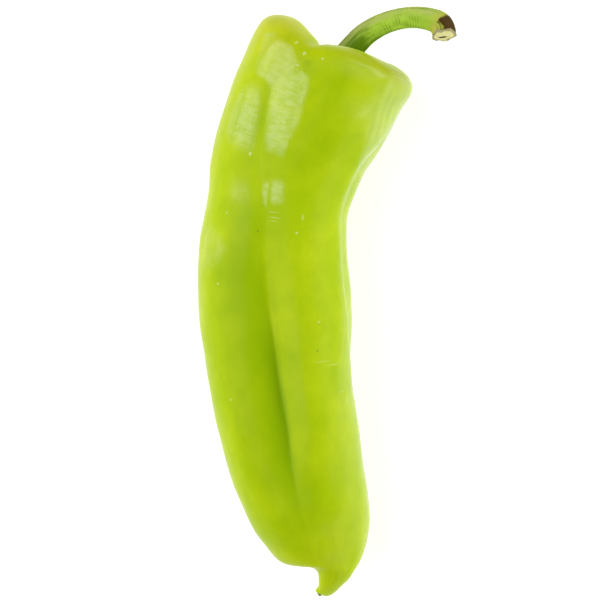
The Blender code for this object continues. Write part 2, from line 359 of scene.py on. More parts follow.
@dataclass
class NodeDesk:
    """Adds nodes to one tree and joins them."""

    tree: bpy.types.NodeTree

    def feed(self, socket: Socket, value: Feed) -> None:
        """Links a socket to another one, or gives it a plain value.

        Args:
            socket: The socket to feed.
            value: The other socket, or the value.
        """
        if isinstance(value, Socket):
            self.tree.links.new(value, socket)
        else:
            socket.default_value = value

    def add(self, kind: str, inputs: dict | None = None, **settings: object) -> bpy.types.Node:
        """Adds a node.

        Args:
            kind: Blender's name of the node.
            inputs: Values or sockets for its inputs, by name or by place.
            settings: The node's own choices.

        Returns:
            The node.
        """
        node = self.tree.nodes.new(kind)
        for name, value in settings.items():
            setattr(node, name, value)
        for key, value in (inputs or {}).items():
            self.feed(node.inputs[key], value)
        return node

    def maths(self, operation: str, *values: Feed, clamp: bool = False) -> Socket:
        """The result of one sum on numbers."""
        inputs = dict(enumerate(values))
        return self.add("ShaderNodeMath", inputs, operation=operation, use_clamp=clamp).outputs[0]

    def vectors(self, operation: str, *values: Feed) -> Socket:
        """The result of one sum on vectors, which is a number for a length."""
        node = self.add("ShaderNodeVectorMath", dict(enumerate(values)), operation=operation)
        return node.outputs["Value" if operation == "LENGTH" else "Vector"]

    def blend(self, share: Feed, first: Feed, second: Feed) -> Socket:
        """A colour between two."""
        inputs = {0: share, 6: first, 7: second}
        return self.add("ShaderNodeMix", inputs, data_type="RGBA").outputs[2]

    def between(self, share: Feed, first: Feed, second: Feed) -> Socket:
        """A number between two."""
        return self.add("ShaderNodeMix", {0: share, 2: first, 3: second}).outputs[0]

    def fade(self, value: Feed, low: float, high: float, start: float = 0.0, end: float = 1.0) -> Socket:
        """A number taken smoothly from start, at low, to end, at high."""
        inputs = {0: value, 1: low, 2: high, 3: start, 4: end}
        return self.add("ShaderNodeMapRange", inputs, interpolation_type="SMOOTHSTEP").outputs[0]

    def noise(self, place: Feed, scale: Feed, detail: float = 2.0, rough: float = 0.5) -> Socket:
        """Cloudy noise from 0 to 1, in waves for each metre."""
        inputs = {"Vector": place, "Scale": scale, "Detail": detail, "Roughness": rough}
        return self.add("ShaderNodeTexNoise", inputs).outputs["Fac"]

    def place(self) -> Socket:
        """The point on the object."""
        return self.add("ShaderNodeTexCoord").outputs["Object"]

    def attribute(self, name: str, vector: bool = False) -> Socket:
        """A value that the mesh carries at each point."""
        node = self.add("ShaderNodeAttribute", attribute_name=name)
        return node.outputs["Vector" if vector else "Fac"]

    def group(self, tree: bpy.types.NodeTree, inputs: dict) -> bpy.types.Node:
        """Places a shared node group with its own values."""
        kind = tree.bl_idname.replace("Tree", "Group")
        return self.add(kind, inputs, node_tree=tree)

    def store(self, geometry: Socket, name: str, value: Feed) -> Socket:
        """Geometry that keeps a number at each point.

        Args:
            geometry: The geometry.
            name: The number's name.
            value: The number.

        Returns:
            The geometry with it.
        """
        inputs = {"Geometry": geometry, "Name": name, "Value": value}
        kind = "GeometryNodeStoreNamedAttribute"
        return self.add(kind, inputs, data_type="FLOAT", domain="POINT").outputs[0]

    def stored(self, name: str) -> Socket:
        """The number that geometry keeps under this name."""
        node = self.add("GeometryNodeInputNamedAttribute", {"Name": name}, data_type="FLOAT")
        return node.outputs["Attribute"]

    def spread(self, mask: Feed, contrast: Feed) -> Socket:
        """A mask from 0 to 1 with more contrast about its middle.

        Args:
            mask: The mask.
            contrast: How many times the contrast is.

        Returns:
            The new mask.
        """
        centred = self.maths("SUBTRACT", mask, 0.5)
        wider = self.maths("MULTIPLY", centred, contrast)
        return self.maths("ADD", wider, 0.5, clamp=True)


def new_group(name: str, kind: str, inputs: dict[str, str], outputs: dict[str, str]) -> tuple:
    """An empty node group with named sockets.

    Args:
        name: The group's name.
        kind: ShaderNodeTree or GeometryNodeTree.
        inputs: The socket type of each input, by its name.
        outputs: The socket type of each output, by its name.

    Returns:
        A desk to lay its nodes, its input node and its output node.
    """
    tree = bpy.data.node_groups.new(name, kind)
    for in_out, sockets in (("INPUT", inputs), ("OUTPUT", outputs)):
        for socket, socket_type in sockets.items():
            tree.interface.new_socket(socket, in_out=in_out, socket_type=socket_type)
    desk = NodeDesk(tree)
    return desk, desk.add("NodeGroupInput"), desk.add("NodeGroupOutput")


NUMBER, VECTOR, WHOLE = "NodeSocketFloat", "NodeSocketVector", "NodeSocketInt"
SOLID, FINISH = "NodeSocketGeometry", "NodeSocketMaterial"


@dataclass
class Effects:
    """The shader effects that several finishes share."""

    clouds: bpy.types.NodeTree = field(init=False)
    streaks: bpy.types.NodeTree = field(init=False)
    mark: bpy.types.NodeTree = field(init=False)
    skin: bpy.types.NodeTree = field(init=False)
    mark_grain: float = 1500.0

    def __post_init__(self) -> None:
        """Builds each effect once."""
        self.clouds = self.make_clouds()
        self.streaks = self.make_streaks()
        self.mark = self.make_mark()
        self.skin = self.make_skin()

    def make_clouds(self) -> bpy.types.NodeTree:
        """Soft mottling: a mask that drifts between 0 and 1.

        Returns:
            The node group.
        """
        desk, given, result = new_group(
            "soft_clouds", "ShaderNodeTree",
            {"Place": VECTOR, "Scale": NUMBER, "Contrast": NUMBER}, {"Mask": NUMBER},
        )
        cloud = desk.noise(given.outputs["Place"], given.outputs["Scale"], detail=3.0, rough=0.55)
        desk.feed(result.inputs["Mask"], desk.spread(cloud, given.outputs["Contrast"]))
        return desk.tree

    def make_streaks(self) -> bpy.types.NodeTree:
        """Fine streaks along the piece: noise that is stretched along the third side.

        Returns:
            The node group.
        """
        desk, given, result = new_group(
            "lengthwise_streaks", "ShaderNodeTree",
            {"Place": VECTOR, "Scale": NUMBER, "Stretch": NUMBER, "Contrast": NUMBER},
            {"Mask": NUMBER},
        )
        parts = desk.add("ShaderNodeSeparateXYZ", {0: given.outputs["Place"]})
        short = desk.maths("DIVIDE", parts.outputs[2], given.outputs["Stretch"])
        inputs = {0: parts.outputs[0], 1: parts.outputs[1], 2: short}
        drawn = desk.add("ShaderNodeCombineXYZ", inputs).outputs[0]
        streak = desk.noise(drawn, given.outputs["Scale"], rough=0.6)
        desk.feed(result.inputs["Mask"], desk.spread(streak, given.outputs["Contrast"]))
        return desk.tree

    def make_mark(self) -> bpy.types.NodeTree:
        """One small mark with a soft, uneven edge.

        Returns:
            The node group.
        """
        desk, given, result = new_group(
            "small_mark", "ShaderNodeTree",
            {"Place": VECTOR, "Centre": VECTOR, "Size": VECTOR, "Ragged": NUMBER},
            {"Mask": NUMBER},
        )
        away = desk.vectors("SUBTRACT", given.outputs["Place"], given.outputs["Centre"])
        away = desk.vectors("DIVIDE", away, given.outputs["Size"])
        uneven = desk.maths("SUBTRACT", desk.noise(given.outputs["Place"], self.mark_grain), 0.5)
        uneven = desk.maths("MULTIPLY", uneven, given.outputs["Ragged"])
        reach = desk.maths("ADD", desk.vectors("LENGTH", away), uneven)
        desk.feed(result.inputs["Mask"], desk.fade(reach, low=0.45, high=1.1, start=1.0, end=0.0))
        return desk.tree

    def make_skin(self) -> bpy.types.NodeTree:
        """The height of fine plant skin: shallow cells and slower unevenness.

        Returns:
            The node group.
        """
        desk, given, result = new_group(
            "plant_skin", "ShaderNodeTree",
            {"Place": VECTOR, "Cell": NUMBER, "Swell": NUMBER, "Swell Share": NUMBER},
            {"Height": NUMBER},
        )
        inputs = {"Vector": given.outputs["Place"], "Scale": given.outputs["Cell"]}
        cells = desk.add("ShaderNodeTexVoronoi", inputs, feature="SMOOTH_F1").outputs["Distance"]
        slow = desk.noise(given.outputs["Place"], given.outputs["Swell"])
        height = desk.between(given.outputs["Swell Share"], cells, slow)
        desk.feed(result.inputs["Height"], height)
        return desk.tree

    def mottle(self, desk: NodeDesk, place: Feed, scale: float, contrast: float) -> Socket:
        """A material's mask of soft mottling."""
        inputs = {"Place": place, "Scale": scale, "Contrast": contrast}
        return desk.group(self.clouds, inputs).outputs["Mask"]

    def brush(self, desk: NodeDesk, place: Feed, scale: float, stretch: float, contrast: float) -> Socket:
        """A material's mask of streaks."""
        inputs = {"Place": place, "Scale": scale, "Stretch": stretch, "Contrast": contrast}
        return desk.group(self.streaks, inputs).outputs["Mask"]

    def pores(self, desk: NodeDesk, place: Feed, cell: float, swell: float, share: float) -> Socket:
        """A material's height of fine plant skin."""
        inputs = {"Place": place, "Cell": cell, "Swell": swell, "Swell Share": share}
        return desk.group(self.skin, inputs).outputs["Height"]


def new_material(name: str) -> tuple[bpy.types.Material, NodeDesk, bpy.types.Node]:
    """An empty material.

    Args:
        name: The material's name.

    Returns:
        The material, a desk for its nodes, and its surface shader.
    """
    material = bpy.data.materials.new(name)
    material.use_nodes = True
    desk = NodeDesk(material.node_tree)
    return material, desk, material.node_tree.nodes["Principled BSDF"]


def bump(desk: NodeDesk, shader: bpy.types.Node, height: Feed, strength: float, depth: float) -> None:
    """Lets a height move the shader's normals."""
    inputs = {"Strength": strength, "Distance": depth, "Height": height}
    desk.feed(shader.inputs["Normal"], desk.add("ShaderNodeBump", inputs).outputs["Normal"])


STRAIGHT_RADIUS = 0.020  # radius of the straight tube that the skin is laid on for its marks


def straight_place(run: np.ndarray | float, angle: np.ndarray | float) -> np.ndarray:
    """The place of skin points once the fruit is laid straight, as a tube along the third side."""
    turn = np.radians(angle)
    return np.stack([STRAIGHT_RADIUS * np.cos(turn), STRAIGHT_RADIUS * np.sin(turn), run], axis=-1)


@dataclass(frozen=True)
class SkinFinish:
    """Waxy yellow-green pepper skin, with painted shade in its furrows, painted sheen on its shoulder and
    right side, and a painted highlight along the right furrow.
    """

    green: Colour = (0.375, 0.540, 0.0015, 1.0)
    paler_green: Colour = (0.490, 0.630, 0.0050, 1.0)
    # darker green for the painted shade in the furrows and cleft, and for the darker streaks
    shade_and_streak_green: Colour = (0.225, 0.400, 0.0010, 1.0)
    yellow: Colour = (0.530, 0.565, 0.010, 1.0)
    fleck: Colour = (0.640, 0.760, 0.250, 1.0)
    scar: Colour = (0.150, 0.230, 0.020, 1.0)
    cloud_scale: float = 85.0
    streak_scale: float = 260.0
    streak_stretch: float = 1.8
    pore_scale: float = 2600.0
    dot_scale: float = 330.0
    # painted sheen: a lighter green where light falls on the shoulder and right flank
    painted_sheen_green: Colour = (0.590, 0.720, 0.100, 1.0)
    # painted highlight along the right furrow's line
    painted_highlight_green: Colour = (0.830, 0.920, 0.560, 1.0)
    olive: Colour = (0.400, 0.470, 0.0050, 1.0)
    matt_roughness: float = 0.30
    shiny_roughness: float = 0.19
    matt_shine: float = 0.07
    full_shine: float = 1.0
    subsurface: float = 0.05
    least_wax: float = 0.52
    most_wax: float = 1.18
    side_wax: float = 0.95
    fleck_rise: float = 0.7
    pit_depth: float = 1.5
    wrinkle_rise: float = 0.5
    wrinkle_share: float = 0.55
    pale_spots: tuple[Spot, ...] = (
        Spot(0.0440, 73.0, 0.00045, 0.00035, 0.8),
        Spot(0.0592, 135.0, 0.00045, 0.00045, 0.5),
        Spot(0.0243, 120.5, 0.00060, 0.00040, 0.8),
        Spot(0.0405, 130.0, 0.00050, 0.00050, 0.4),
        Spot(0.0901, 135.5, 0.00040, 0.00040, 0.5),
        Spot(-0.0086, 111.0, 0.00110, 0.00035, 0.8),
        Spot(-0.0031, 111.5, 0.00040, 0.00080, 0.6),
        Spot(-0.0109, 120.0, 0.00090, 0.00030, 0.6),
        Spot(-0.0085, 97.0, 0.00060, 0.00035, 0.6),
        Spot(0.0387, 93.0, 0.00018, 0.00220, 0.5),
        Spot(0.0402, 91.0, 0.00018, 0.00180, 0.6),
        Spot(0.0412, 92.0, 0.00016, 0.00120, 0.5),
        Spot(0.0832, 56.0, 0.00030, 0.00400, 0.25),
        Spot(0.0846, 45.0, 0.00030, 0.00350, 0.30),
        Spot(0.0935, 38.0, 0.00030, 0.00250, 0.25),
        Spot(0.0709, 59.0, 0.00060, 0.00060, 0.4),
        Spot(0.0390, 69.5, 0.00120, 0.00030, 0.4),
        Spot(0.0967, 32.0, 0.00130, 0.00050, 0.4),
    )
    dark_spots: tuple[Spot, ...] = (
        Spot(0.0445, 103.5, 0.00030, 0.00030, 0.7),
        Spot(0.0797, 60.5, 0.00035, 0.00030, 0.7),
        Spot(0.0716, 59.0, 0.00018, 0.00018, 0.6),
    )
    smallest_mark: float = 0.0004
    ragged: float = 0.8

    def spots(self, desk: NodeDesk, effects: Effects, marks: tuple[Spot, ...], place: Socket) -> Socket:
        """One mask that holds all of these marks.

        Args:
            desk: The material's desk.
            effects: The shared effects.
            marks: The marks to lay.
            place: The place on the straightened skin.

        Returns:
            The mask.
        """
        total = None
        for mark in marks:
            turn = math.radians(mark.angle)
            across = abs(math.sin(turn)) * mark.wide, abs(math.cos(turn)) * mark.wide
            size = (*(max(side, self.smallest_mark) for side in across), mark.long)
            centre = tuple(float(side) for side in straight_place(mark.run, mark.angle))
            inputs = {"Place": place, "Centre": centre, "Size": size, "Ragged": self.ragged}
            mask = desk.group(effects.mark, inputs).outputs["Mask"]
            shown = desk.maths("MULTIPLY", mask, mark.amount)
            total = shown if total is None else desk.maths("MAXIMUM", total, shown)
        return total

    def colour(self, desk: NodeDesk, effects: Effects, place: Socket, straight: Socket) -> Socket:
        """The skin's colour without its small marks.

        Args:
            desk: The material's desk.
            effects: The shared effects.
            place: The place on the fruit.
            straight: The place on the straightened skin.

        Returns:
            The colour.
        """
        clouds = effects.mottle(desk, place, self.cloud_scale, contrast=2.2)
        streaks = effects.brush(desk, straight, self.streak_scale, self.streak_stretch, contrast=1.5)
        colour = desk.blend(clouds, self.green, self.paler_green)
        # the painted_shade tint is painted shade; the pale tint is painted sheen and the white tint a
        # painted highlight
        tints = {"painted_shade": self.shade_and_streak_green, "sunny": self.yellow, "crest": self.olive,
                 "pale": self.painted_sheen_green, "white": self.painted_highlight_green}
        for name, tint in tints.items():
            colour = desk.blend(desk.attribute(name), colour, tint)
        dark_streak = desk.fade(streaks, low=0.35, high=0.85, end=0.15)
        colour = desk.blend(dark_streak, colour, self.shade_and_streak_green)
        inputs = {"Vector": place, "Scale": self.dot_scale}
        dots = desk.add("ShaderNodeTexVoronoi", inputs).outputs["Distance"]
        dots = desk.fade(dots, low=0.04, high=0.11, start=0.10, end=0.0)
        return desk.blend(dots, colour, self.fleck)

    def make(self, effects: Effects) -> bpy.types.Material:
        """Builds the material.

        Args:
            effects: The shared effects.

        Returns:
            The material.
        """
        material, desk, shader = new_material("waxy_pepper_skin")
        place, straight = desk.place(), desk.attribute("straight", vector=True)
        pale = self.spots(desk, effects, self.pale_spots, straight)
        dark = self.spots(desk, effects, self.dark_spots, straight)
        colour = desk.blend(pale, self.colour(desk, effects, place, straight), self.fleck)
        desk.feed(shader.inputs["Base Color"], desk.blend(dark, colour, self.scar))
        brushed = effects.brush(desk, straight, scale=620.0, stretch=5.0, contrast=2.0)
        wrinkled = effects.brush(desk, straight, scale=300.0, stretch=0.22, contrast=2.2)
        mixed = desk.between(self.wrinkle_share, brushed, wrinkled)
        worn = desk.fade(mixed, low=0.28, high=0.71, start=self.least_wax, end=self.most_wax)
        front = desk.attribute("front")
        worn = desk.between(front, self.side_wax, worn)
        shine = desk.maths("MULTIPLY", desk.attribute("shine"), worn, clamp=True)
        roughness = desk.between(shine, self.matt_roughness, self.shiny_roughness)
        desk.feed(shader.inputs["Roughness"], roughness)
        level = desk.between(shine, self.matt_shine, self.full_shine)
        desk.feed(shader.inputs["Specular IOR Level"], level)
        shader.inputs["IOR"].default_value = 1.45
        shader.inputs["Subsurface Weight"].default_value = self.subsurface
        shader.inputs["Subsurface Radius"].default_value = (0.8, 1.0, 0.15)
        shader.inputs["Subsurface Scale"].default_value = 0.004
        height = effects.pores(desk, place, self.pore_scale, swell=500.0, share=0.6)
        parts = (("ADD", pale, self.fleck_rise), ("SUBTRACT", dark, self.pit_depth),
                 ("ADD", wrinkled, desk.between(front, 0.0, self.wrinkle_rise)))
        for way, mask, share in parts:
            height = desk.maths(way, height, desk.maths("MULTIPLY", mask, share))
        bump(desk, shader, height, strength=0.35, depth=0.00008)
        return material


@dataclass(frozen=True)
class CalyxFinish:
    """Matt green calyx with paler ribs and a dry edge."""

    green: Colour = (0.150, 0.300, 0.020, 1.0)
    paler: Colour = (0.300, 0.450, 0.060, 1.0)
    dry: Colour = (0.180, 0.120, 0.040, 1.0)

    def make(self, effects: Effects) -> bpy.types.Material:
        """Builds the material.

        Args:
            effects: The shared effects.

        Returns:
            The material.
        """
        material, desk, shader = new_material("matt_calyx")
        place = desk.place()
        clouds = effects.mottle(desk, place, scale=260.0, contrast=2.0)
        colour = desk.blend(clouds, self.green, self.paler)
        colour = desk.blend(desk.attribute("rib"), colour, self.paler)
        edge = desk.maths("MULTIPLY", desk.attribute("edge"), clouds)
        colour = desk.blend(desk.fade(edge, low=0.25, high=0.60, end=0.8), colour, self.dry)
        desk.feed(shader.inputs["Base Color"], colour)
        desk.feed(shader.inputs["Roughness"], desk.between(clouds, first=0.42, second=0.58))
        pores = effects.pores(desk, place, cell=2200.0, swell=900.0, share=0.5)
        bump(desk, shader, pores, strength=0.5, depth=0.0001)
        return material


@dataclass(frozen=True)
class StemFinish:
    """Green stalk, fibrous and olive near its cut, brown along its upper edge, with painted light on its
    lit side and painted shade in its wrinkles.
    """

    green: Colour = (0.130, 0.245, 0.003, 1.0)
    painted_lit_green: Colour = (0.400, 0.610, 0.050, 1.0)
    olive: Colour = (0.450, 0.500, 0.130, 1.0)
    straw: Colour = (0.500, 0.440, 0.075, 1.0)
    purple_brown: Colour = (0.190, 0.130, 0.045, 1.0)
    bruise: Colour = (0.070, 0.034, 0.002, 1.0)
    shine: float = 0.10

    def make(self, effects: Effects) -> bpy.types.Material:
        """Builds the material.

        Args:
            effects: The shared effects.

        Returns:
            The material.
        """
        material, desk, shader = new_material("fibrous_stem")
        place, straight = desk.place(), desk.attribute("straight", vector=True)
        clouds = effects.mottle(desk, place, scale=300.0, contrast=2.2)
        fibres = effects.brush(desk, straight, scale=1500.0, stretch=12.0, contrast=2.6)
        # painted light: the stalk's lit side and ridge are a lighter green
        lit = desk.maths("ADD", desk.attribute("painted_lit_side"), desk.between(fibres, -0.28, 0.28))
        lit = desk.maths("ADD", lit, desk.between(clouds, -0.20, 0.20))
        colour = desk.blend(desk.fade(lit, low=0.10, high=0.95), self.green, self.painted_lit_green)
        dull = desk.maths("MULTIPLY", desk.attribute("back"), desk.between(fibres, 0.35, 1.1))
        colour = desk.blend(desk.fade(dull, low=0.25, high=0.90, end=0.85), colour, self.olive)
        # painted shade: darker green in the troughs of the wrinkles
        colour = desk.blend(desk.attribute("wrinkle"), colour, self.green)
        edge = desk.maths("MULTIPLY", desk.attribute("edge"), desk.between(fibres, 0.5, 1.0))
        colour = desk.blend(desk.fade(edge, low=0.25, high=0.80, end=0.9), colour, self.purple_brown)
        woody = desk.maths("MULTIPLY", desk.attribute("far"), desk.between(fibres, 0.35, 1.2))
        colour = desk.blend(woody, colour, self.straw)
        frayed = desk.between(desk.between(0.5, clouds, fibres), 0.45, 1.40)
        bruised = desk.maths("MULTIPLY", desk.attribute("bruise"), frayed)
        colour = desk.blend(desk.fade(bruised, low=0.36, high=0.66), colour, self.bruise)
        desk.feed(shader.inputs["Base Color"], colour)
        desk.feed(shader.inputs["Roughness"], desk.between(fibres, first=0.45, second=0.60))
        shader.inputs["Specular IOR Level"].default_value = self.shine
        pores = effects.pores(desk, place, cell=2600.0, swell=1100.0, share=0.4)
        height = desk.maths("ADD", desk.maths("MULTIPLY", fibres, 0.6), pores)
        bump(desk, shader, height, strength=0.6, depth=0.00012)
        return material


@dataclass(frozen=True)
class CutFinish:
    """The dry cut of the stem: pale pith inside a grey fibrous rim."""

    pith: Colour = (0.740, 0.680, 0.250, 1.0)
    pale_pith: Colour = (0.930, 0.880, 0.420, 1.0)
    rim: Colour = (0.380, 0.330, 0.150, 1.0)
    dark: Colour = (0.050, 0.025, 0.015, 1.0)

    def make(self, effects: Effects) -> bpy.types.Material:
        """Builds the material.

        Args:
            effects: The shared effects.

        Returns:
            The material.
        """
        material, desk, shader = new_material("dry_cut")
        place = desk.place()
        clouds = effects.mottle(desk, place, scale=1100.0, contrast=2.4)
        colour = desk.blend(clouds, self.pith, self.pale_pith)
        rim = desk.maths("ADD", desk.attribute("out"), desk.maths("MULTIPLY", clouds, 0.14))
        colour = desk.blend(desk.fade(rim, low=0.86, high=0.98), colour, self.rim)
        slit = desk.fade(desk.attribute("slit"), low=0.25, high=0.7)
        desk.feed(shader.inputs["Base Color"], desk.blend(slit, colour, self.dark))
        desk.feed(shader.inputs["Roughness"], desk.between(clouds, first=0.65, second=0.85))
        pores = effects.pores(desk, place, cell=3200.0, swell=1500.0, share=0.4)
        bump(desk, shader, pores, strength=0.8, depth=0.00015)
        return material


@dataclass(frozen=True)
class ScarFinish:
    """The dried foot of the flower's style: dark olive brown."""

    brown: Colour = (0.060, 0.065, 0.008, 1.0)
    olive: Colour = (0.160, 0.220, 0.010, 1.0)

    def make(self, effects: Effects) -> bpy.types.Material:
        """Builds the material.

        Args:
            effects: The shared effects.

        Returns:
            The material.
        """
        material, desk, shader = new_material("dried_style")
        place = desk.place()
        clouds = effects.mottle(desk, place, scale=1400.0, contrast=2.6)
        desk.feed(shader.inputs["Base Color"], desk.blend(clouds, self.brown, self.olive))
        desk.feed(shader.inputs["Roughness"], desk.between(clouds, first=0.5, second=0.75))
        pores = effects.pores(desk, place, cell=3500.0, swell=1800.0, share=0.5)
        bump(desk, shader, pores, strength=0.8, depth=0.00012)
        return material


def mesh_object(
    name: str, points: np.ndarray, faces: list, material: bpy.types.Material
) -> bpy.types.Object:
    """A smooth mesh object with its place in its mesh.

    Args:
        name: The piece's name.
        points: Rows of x, y and z.
        faces: Lists of point numbers.
        material: The piece's finish.

    Returns:
        The object.
    """
    mesh = bpy.data.meshes.new(name)
    mesh.from_pydata(np.asarray(points, float).tolist(), [], faces)
    mesh.validate()
    work = bmesh.new()
    work.from_mesh(mesh)
    bmesh.ops.recalc_face_normals(work, faces=work.faces)
    work.to_mesh(mesh)
    work.free()
    mesh.shade_smooth()
    mesh.materials.append(material)
    piece = bpy.data.objects.new(name, mesh)
    bpy.context.scene.collection.objects.link(piece)
    return piece


def plain_mesh(
    guide: bpy.types.Object, tree: bpy.types.NodeTree, values: dict, name: str
) -> bpy.types.Object:
    """Runs geometry nodes on an object and keeps the result as a plain mesh.

    Args:
        guide: The object that carries the nodes, which is removed afterwards.
        tree: The geometry nodes.
        values: Values for the tree's inputs, by name.
        name: The new piece's name.

    Returns:
        The new piece.
    """
    modifier = guide.modifiers.new(tree.name, "NODES")
    modifier.node_group = tree
    for item in tree.interface.items_tree:
        if item.item_type == "SOCKET" and item.in_out == "INPUT" and item.name in values:
            modifier[item.identifier] = values[item.name]
    depsgraph = bpy.context.evaluated_depsgraph_get()
    mesh = bpy.data.meshes.new_from_object(guide.evaluated_get(depsgraph), depsgraph=depsgraph)
    guide.modifiers.remove(modifier)
    bpy.data.objects.remove(guide)
    mesh.name = name
    mesh.shade_smooth()
    piece = bpy.data.objects.new(name, mesh)
    bpy.context.scene.collection.objects.link(piece)
    return piece


def carry(piece: bpy.types.Object, name: str, values: np.ndarray) -> None:
    """Gives a mesh a number or a vector at each point, which its finish reads.

    Args:
        piece: The mesh object.
        name: The name that the finish reads.
        values: One number, or one row of three, for each point.
    """
    vector = values.ndim > 1
    kind = "FLOAT_VECTOR" if vector else "FLOAT"
    attribute = piece.data.attributes.new(name, kind, "POINT")
    attribute.data.foreach_set("vector" if vector else "value", values.astype(np.float32).ravel())


def ring_faces(rings: int, sides: int, first: int = 0) -> list:
    """Faces between rings of points that follow one another.

    Args:
        rings: How many rings there are.
        sides: Points in each ring.
        first: Number of the first ring's first point.

    Returns:
        Lists of four point numbers.
    """
    i, j = np.meshgrid(np.arange(rings - 1), np.arange(sides), indexing="ij")
    right = (j + 1) % sides
    corners = (i * sides + j, i * sides + right, (i + 1) * sides + right, (i + 1) * sides + j)
    return (first + np.stack(corners, axis=-1).reshape(-1, 4)).tolist()


def cap_faces(ring: int, sides: int, tip: int) -> list:
    """Triangles from a ring, named by its first point, to one point."""
    return [[tip, ring + j, ring + (j + 1) % sides] for j in range(sides)]


RIGHT_CREASE: Table = (  # the line of the right furrow, as angles over the run
    (-0.039, -10), (-0.020, -8), (-0.008, 0), (0.003, 8), (0.009, 14), (0.013, 18.5),
    (0.018, 20.5), (0.025, 20), (0.033, 17.5), (0.040, 16), (0.048, 16), (0.058, 15),
    (0.068, 13), (0.078, 9), (0.092, -4), (0.115, -13), (0.161, -20),
)


@dataclass(frozen=True)
class SkinRelief:
    """The fine forms of the skin: rises and dents, folds, ripples and unevenness."""

    knolls: tuple[Patch, ...] = (
        Patch(0.0300, 168.0, 0.0022, 9.0, 0.00025),  # bump on the left edge
        Patch(0.0265, 108.0, 0.0038, 24.0, -0.00032),  # hollow across the front
        Patch(0.0360, 101.0, 0.0040, 15.0, 0.00030),  # rise below it
        Patch(0.0540, 141.0, 0.0060, 12.0, 0.00022),  # rise on the left lobe
        Patch(-0.0040, 109.5, 0.0016, 3.0, -0.00030),  # dent below the cleft
        Patch(0.1180, 88.0, 0.0050, 2.0, -0.00018),  # crease towards the tip
        Patch(0.1265, 103.0, 0.0040, 7.0, -0.00030),  # dimple at the furrow's end
        Patch(0.1243, 137.0, 0.0035, 8.0, -0.00022),  # dimple left of it
    )
    front_line: Fold = Fold(  # the front furrow's own line
        angle=((-0.010, 104), (0.002, 120.5), (0.0083, 121.5), (0.015, 117), (0.022, 114),
               (0.028, 110), (0.032, 106), (0.038, 100), (0.047, 97), (0.055, 96), (0.073, 95),
               (0.083, 93), (0.093, 91), (0.103, 92), (0.113, 95.5), (0.122, 97.5),
               (0.161, 98)),
        height=((-0.012, 0), (-0.004, -0.00022), (0.008, -0.00034), (0.022, -0.00024),
                (0.040, -0.00008), (0.055, -0.00026), (0.075, -0.00056), (0.095, -0.00066),
                (0.108, -0.00045), (0.122, 0)),
        below=1.5, above=5.5,
    )
    band_edge: Fold = Fold(  # the soft edge right of the broad gloss beside the cleft
        angle=((-0.012, 100), (-0.005, 99), (0.002, 97), (0.008, 93.5), (0.013, 93.5),
               (0.018, 95.5), (0.023, 94), (0.030, 88), (0.040, 83)),
        height=((-0.012, 0), (-0.004, 0.00028), (0.014, 0.00034), (0.024, 0.00022), (0.034, 0)),
        below=3.0, above=12.0,
    )
    right_line: Fold = Fold(  # the right furrow's line, which catches the light
        angle=RIGHT_CREASE,
        height=((0.004, 0), (0.010, -0.00040), (0.020, -0.00060), (0.060, -0.00060),
                (0.080, -0.00020), (0.090, 0)),
        below=2.0, above=1.4,
    )
    shoulder_folds: tuple[Fold, ...] = (  # wavy pleats down the right shoulder
        Fold(((-0.012, 51), (-0.003, 48.5), (0.003, 42), (0.0094, 32)),
             ((-0.014, 0), (-0.006, 0.00016), (0.004, 0.00020), (0.010, 0)), 3.0, 3.5),
        Fold(((-0.012, 43), (-0.003, 40), (0.003, 35), (0.0094, 26)),
             ((-0.014, 0), (-0.006, 0.00014), (0.004, 0.00016), (0.010, 0)), 2.5, 3.0),
        Fold(((-0.012, 35), (-0.002, 31), (0.005, 25)),
             ((-0.014, 0), (-0.006, 0.00012), (0.003, 0.00014), (0.008, 0)), 2.5, 2.5),
    )
    ripples: tuple[Ripple, ...] = (
        Ripple(31, 40, 0.3, 0.000010),
        Ripple(47, -60, 2.1, 0.000008),
        Ripple(19, -30, 1.2, 0.000012),
    )
    bumps: tuple[Unevenness, ...] = (
        Unevenness(0.000070, 0.0120, 22, 5),
        Unevenness(0.000016, 0.0060, 26, 23),
    )
    grain: Unevenness = Unevenness(0.000014, 0.0042, 30, 11)
    body_start: tuple[float, float] = (-0.030, -0.020)
    body_end: tuple[float, float] = (0.140, 0.152)
    calm_start: tuple[float, float] = (0.015, 0.045)
    calm_share: float = 0.25

    def height(self, run: np.ndarray, angle: np.ndarray, skin: np.ndarray) -> np.ndarray:
        """How far the fine relief stands above the plain skin.

        Args:
            run: The points' runs.
            angle: The points' angles.
            skin: The points.

        Returns:
            The heights.
        """
        body = smooth_step(*self.body_start, run) * (1 - smooth_step(*self.body_end, run))
        lively = 1 - (1 - self.calm_share) * smooth_step(*self.calm_start, run)
        height = soft_patches(self.knolls, run, angle)
        folds = (self.front_line, self.band_edge, self.right_line, *self.shoulder_folds)
        height += fold_lines(folds, run, angle)
        turn = np.radians(angle)
        for r in self.ripples:
            height += r.height * body * lively * np.sin(r.ridges * turn + r.drift * run + r.phase)
        for bumps in self.bumps:
            height += body * soft_noise(skin, bumps)
        return height + body * lively * soft_noise(skin, self.grain)


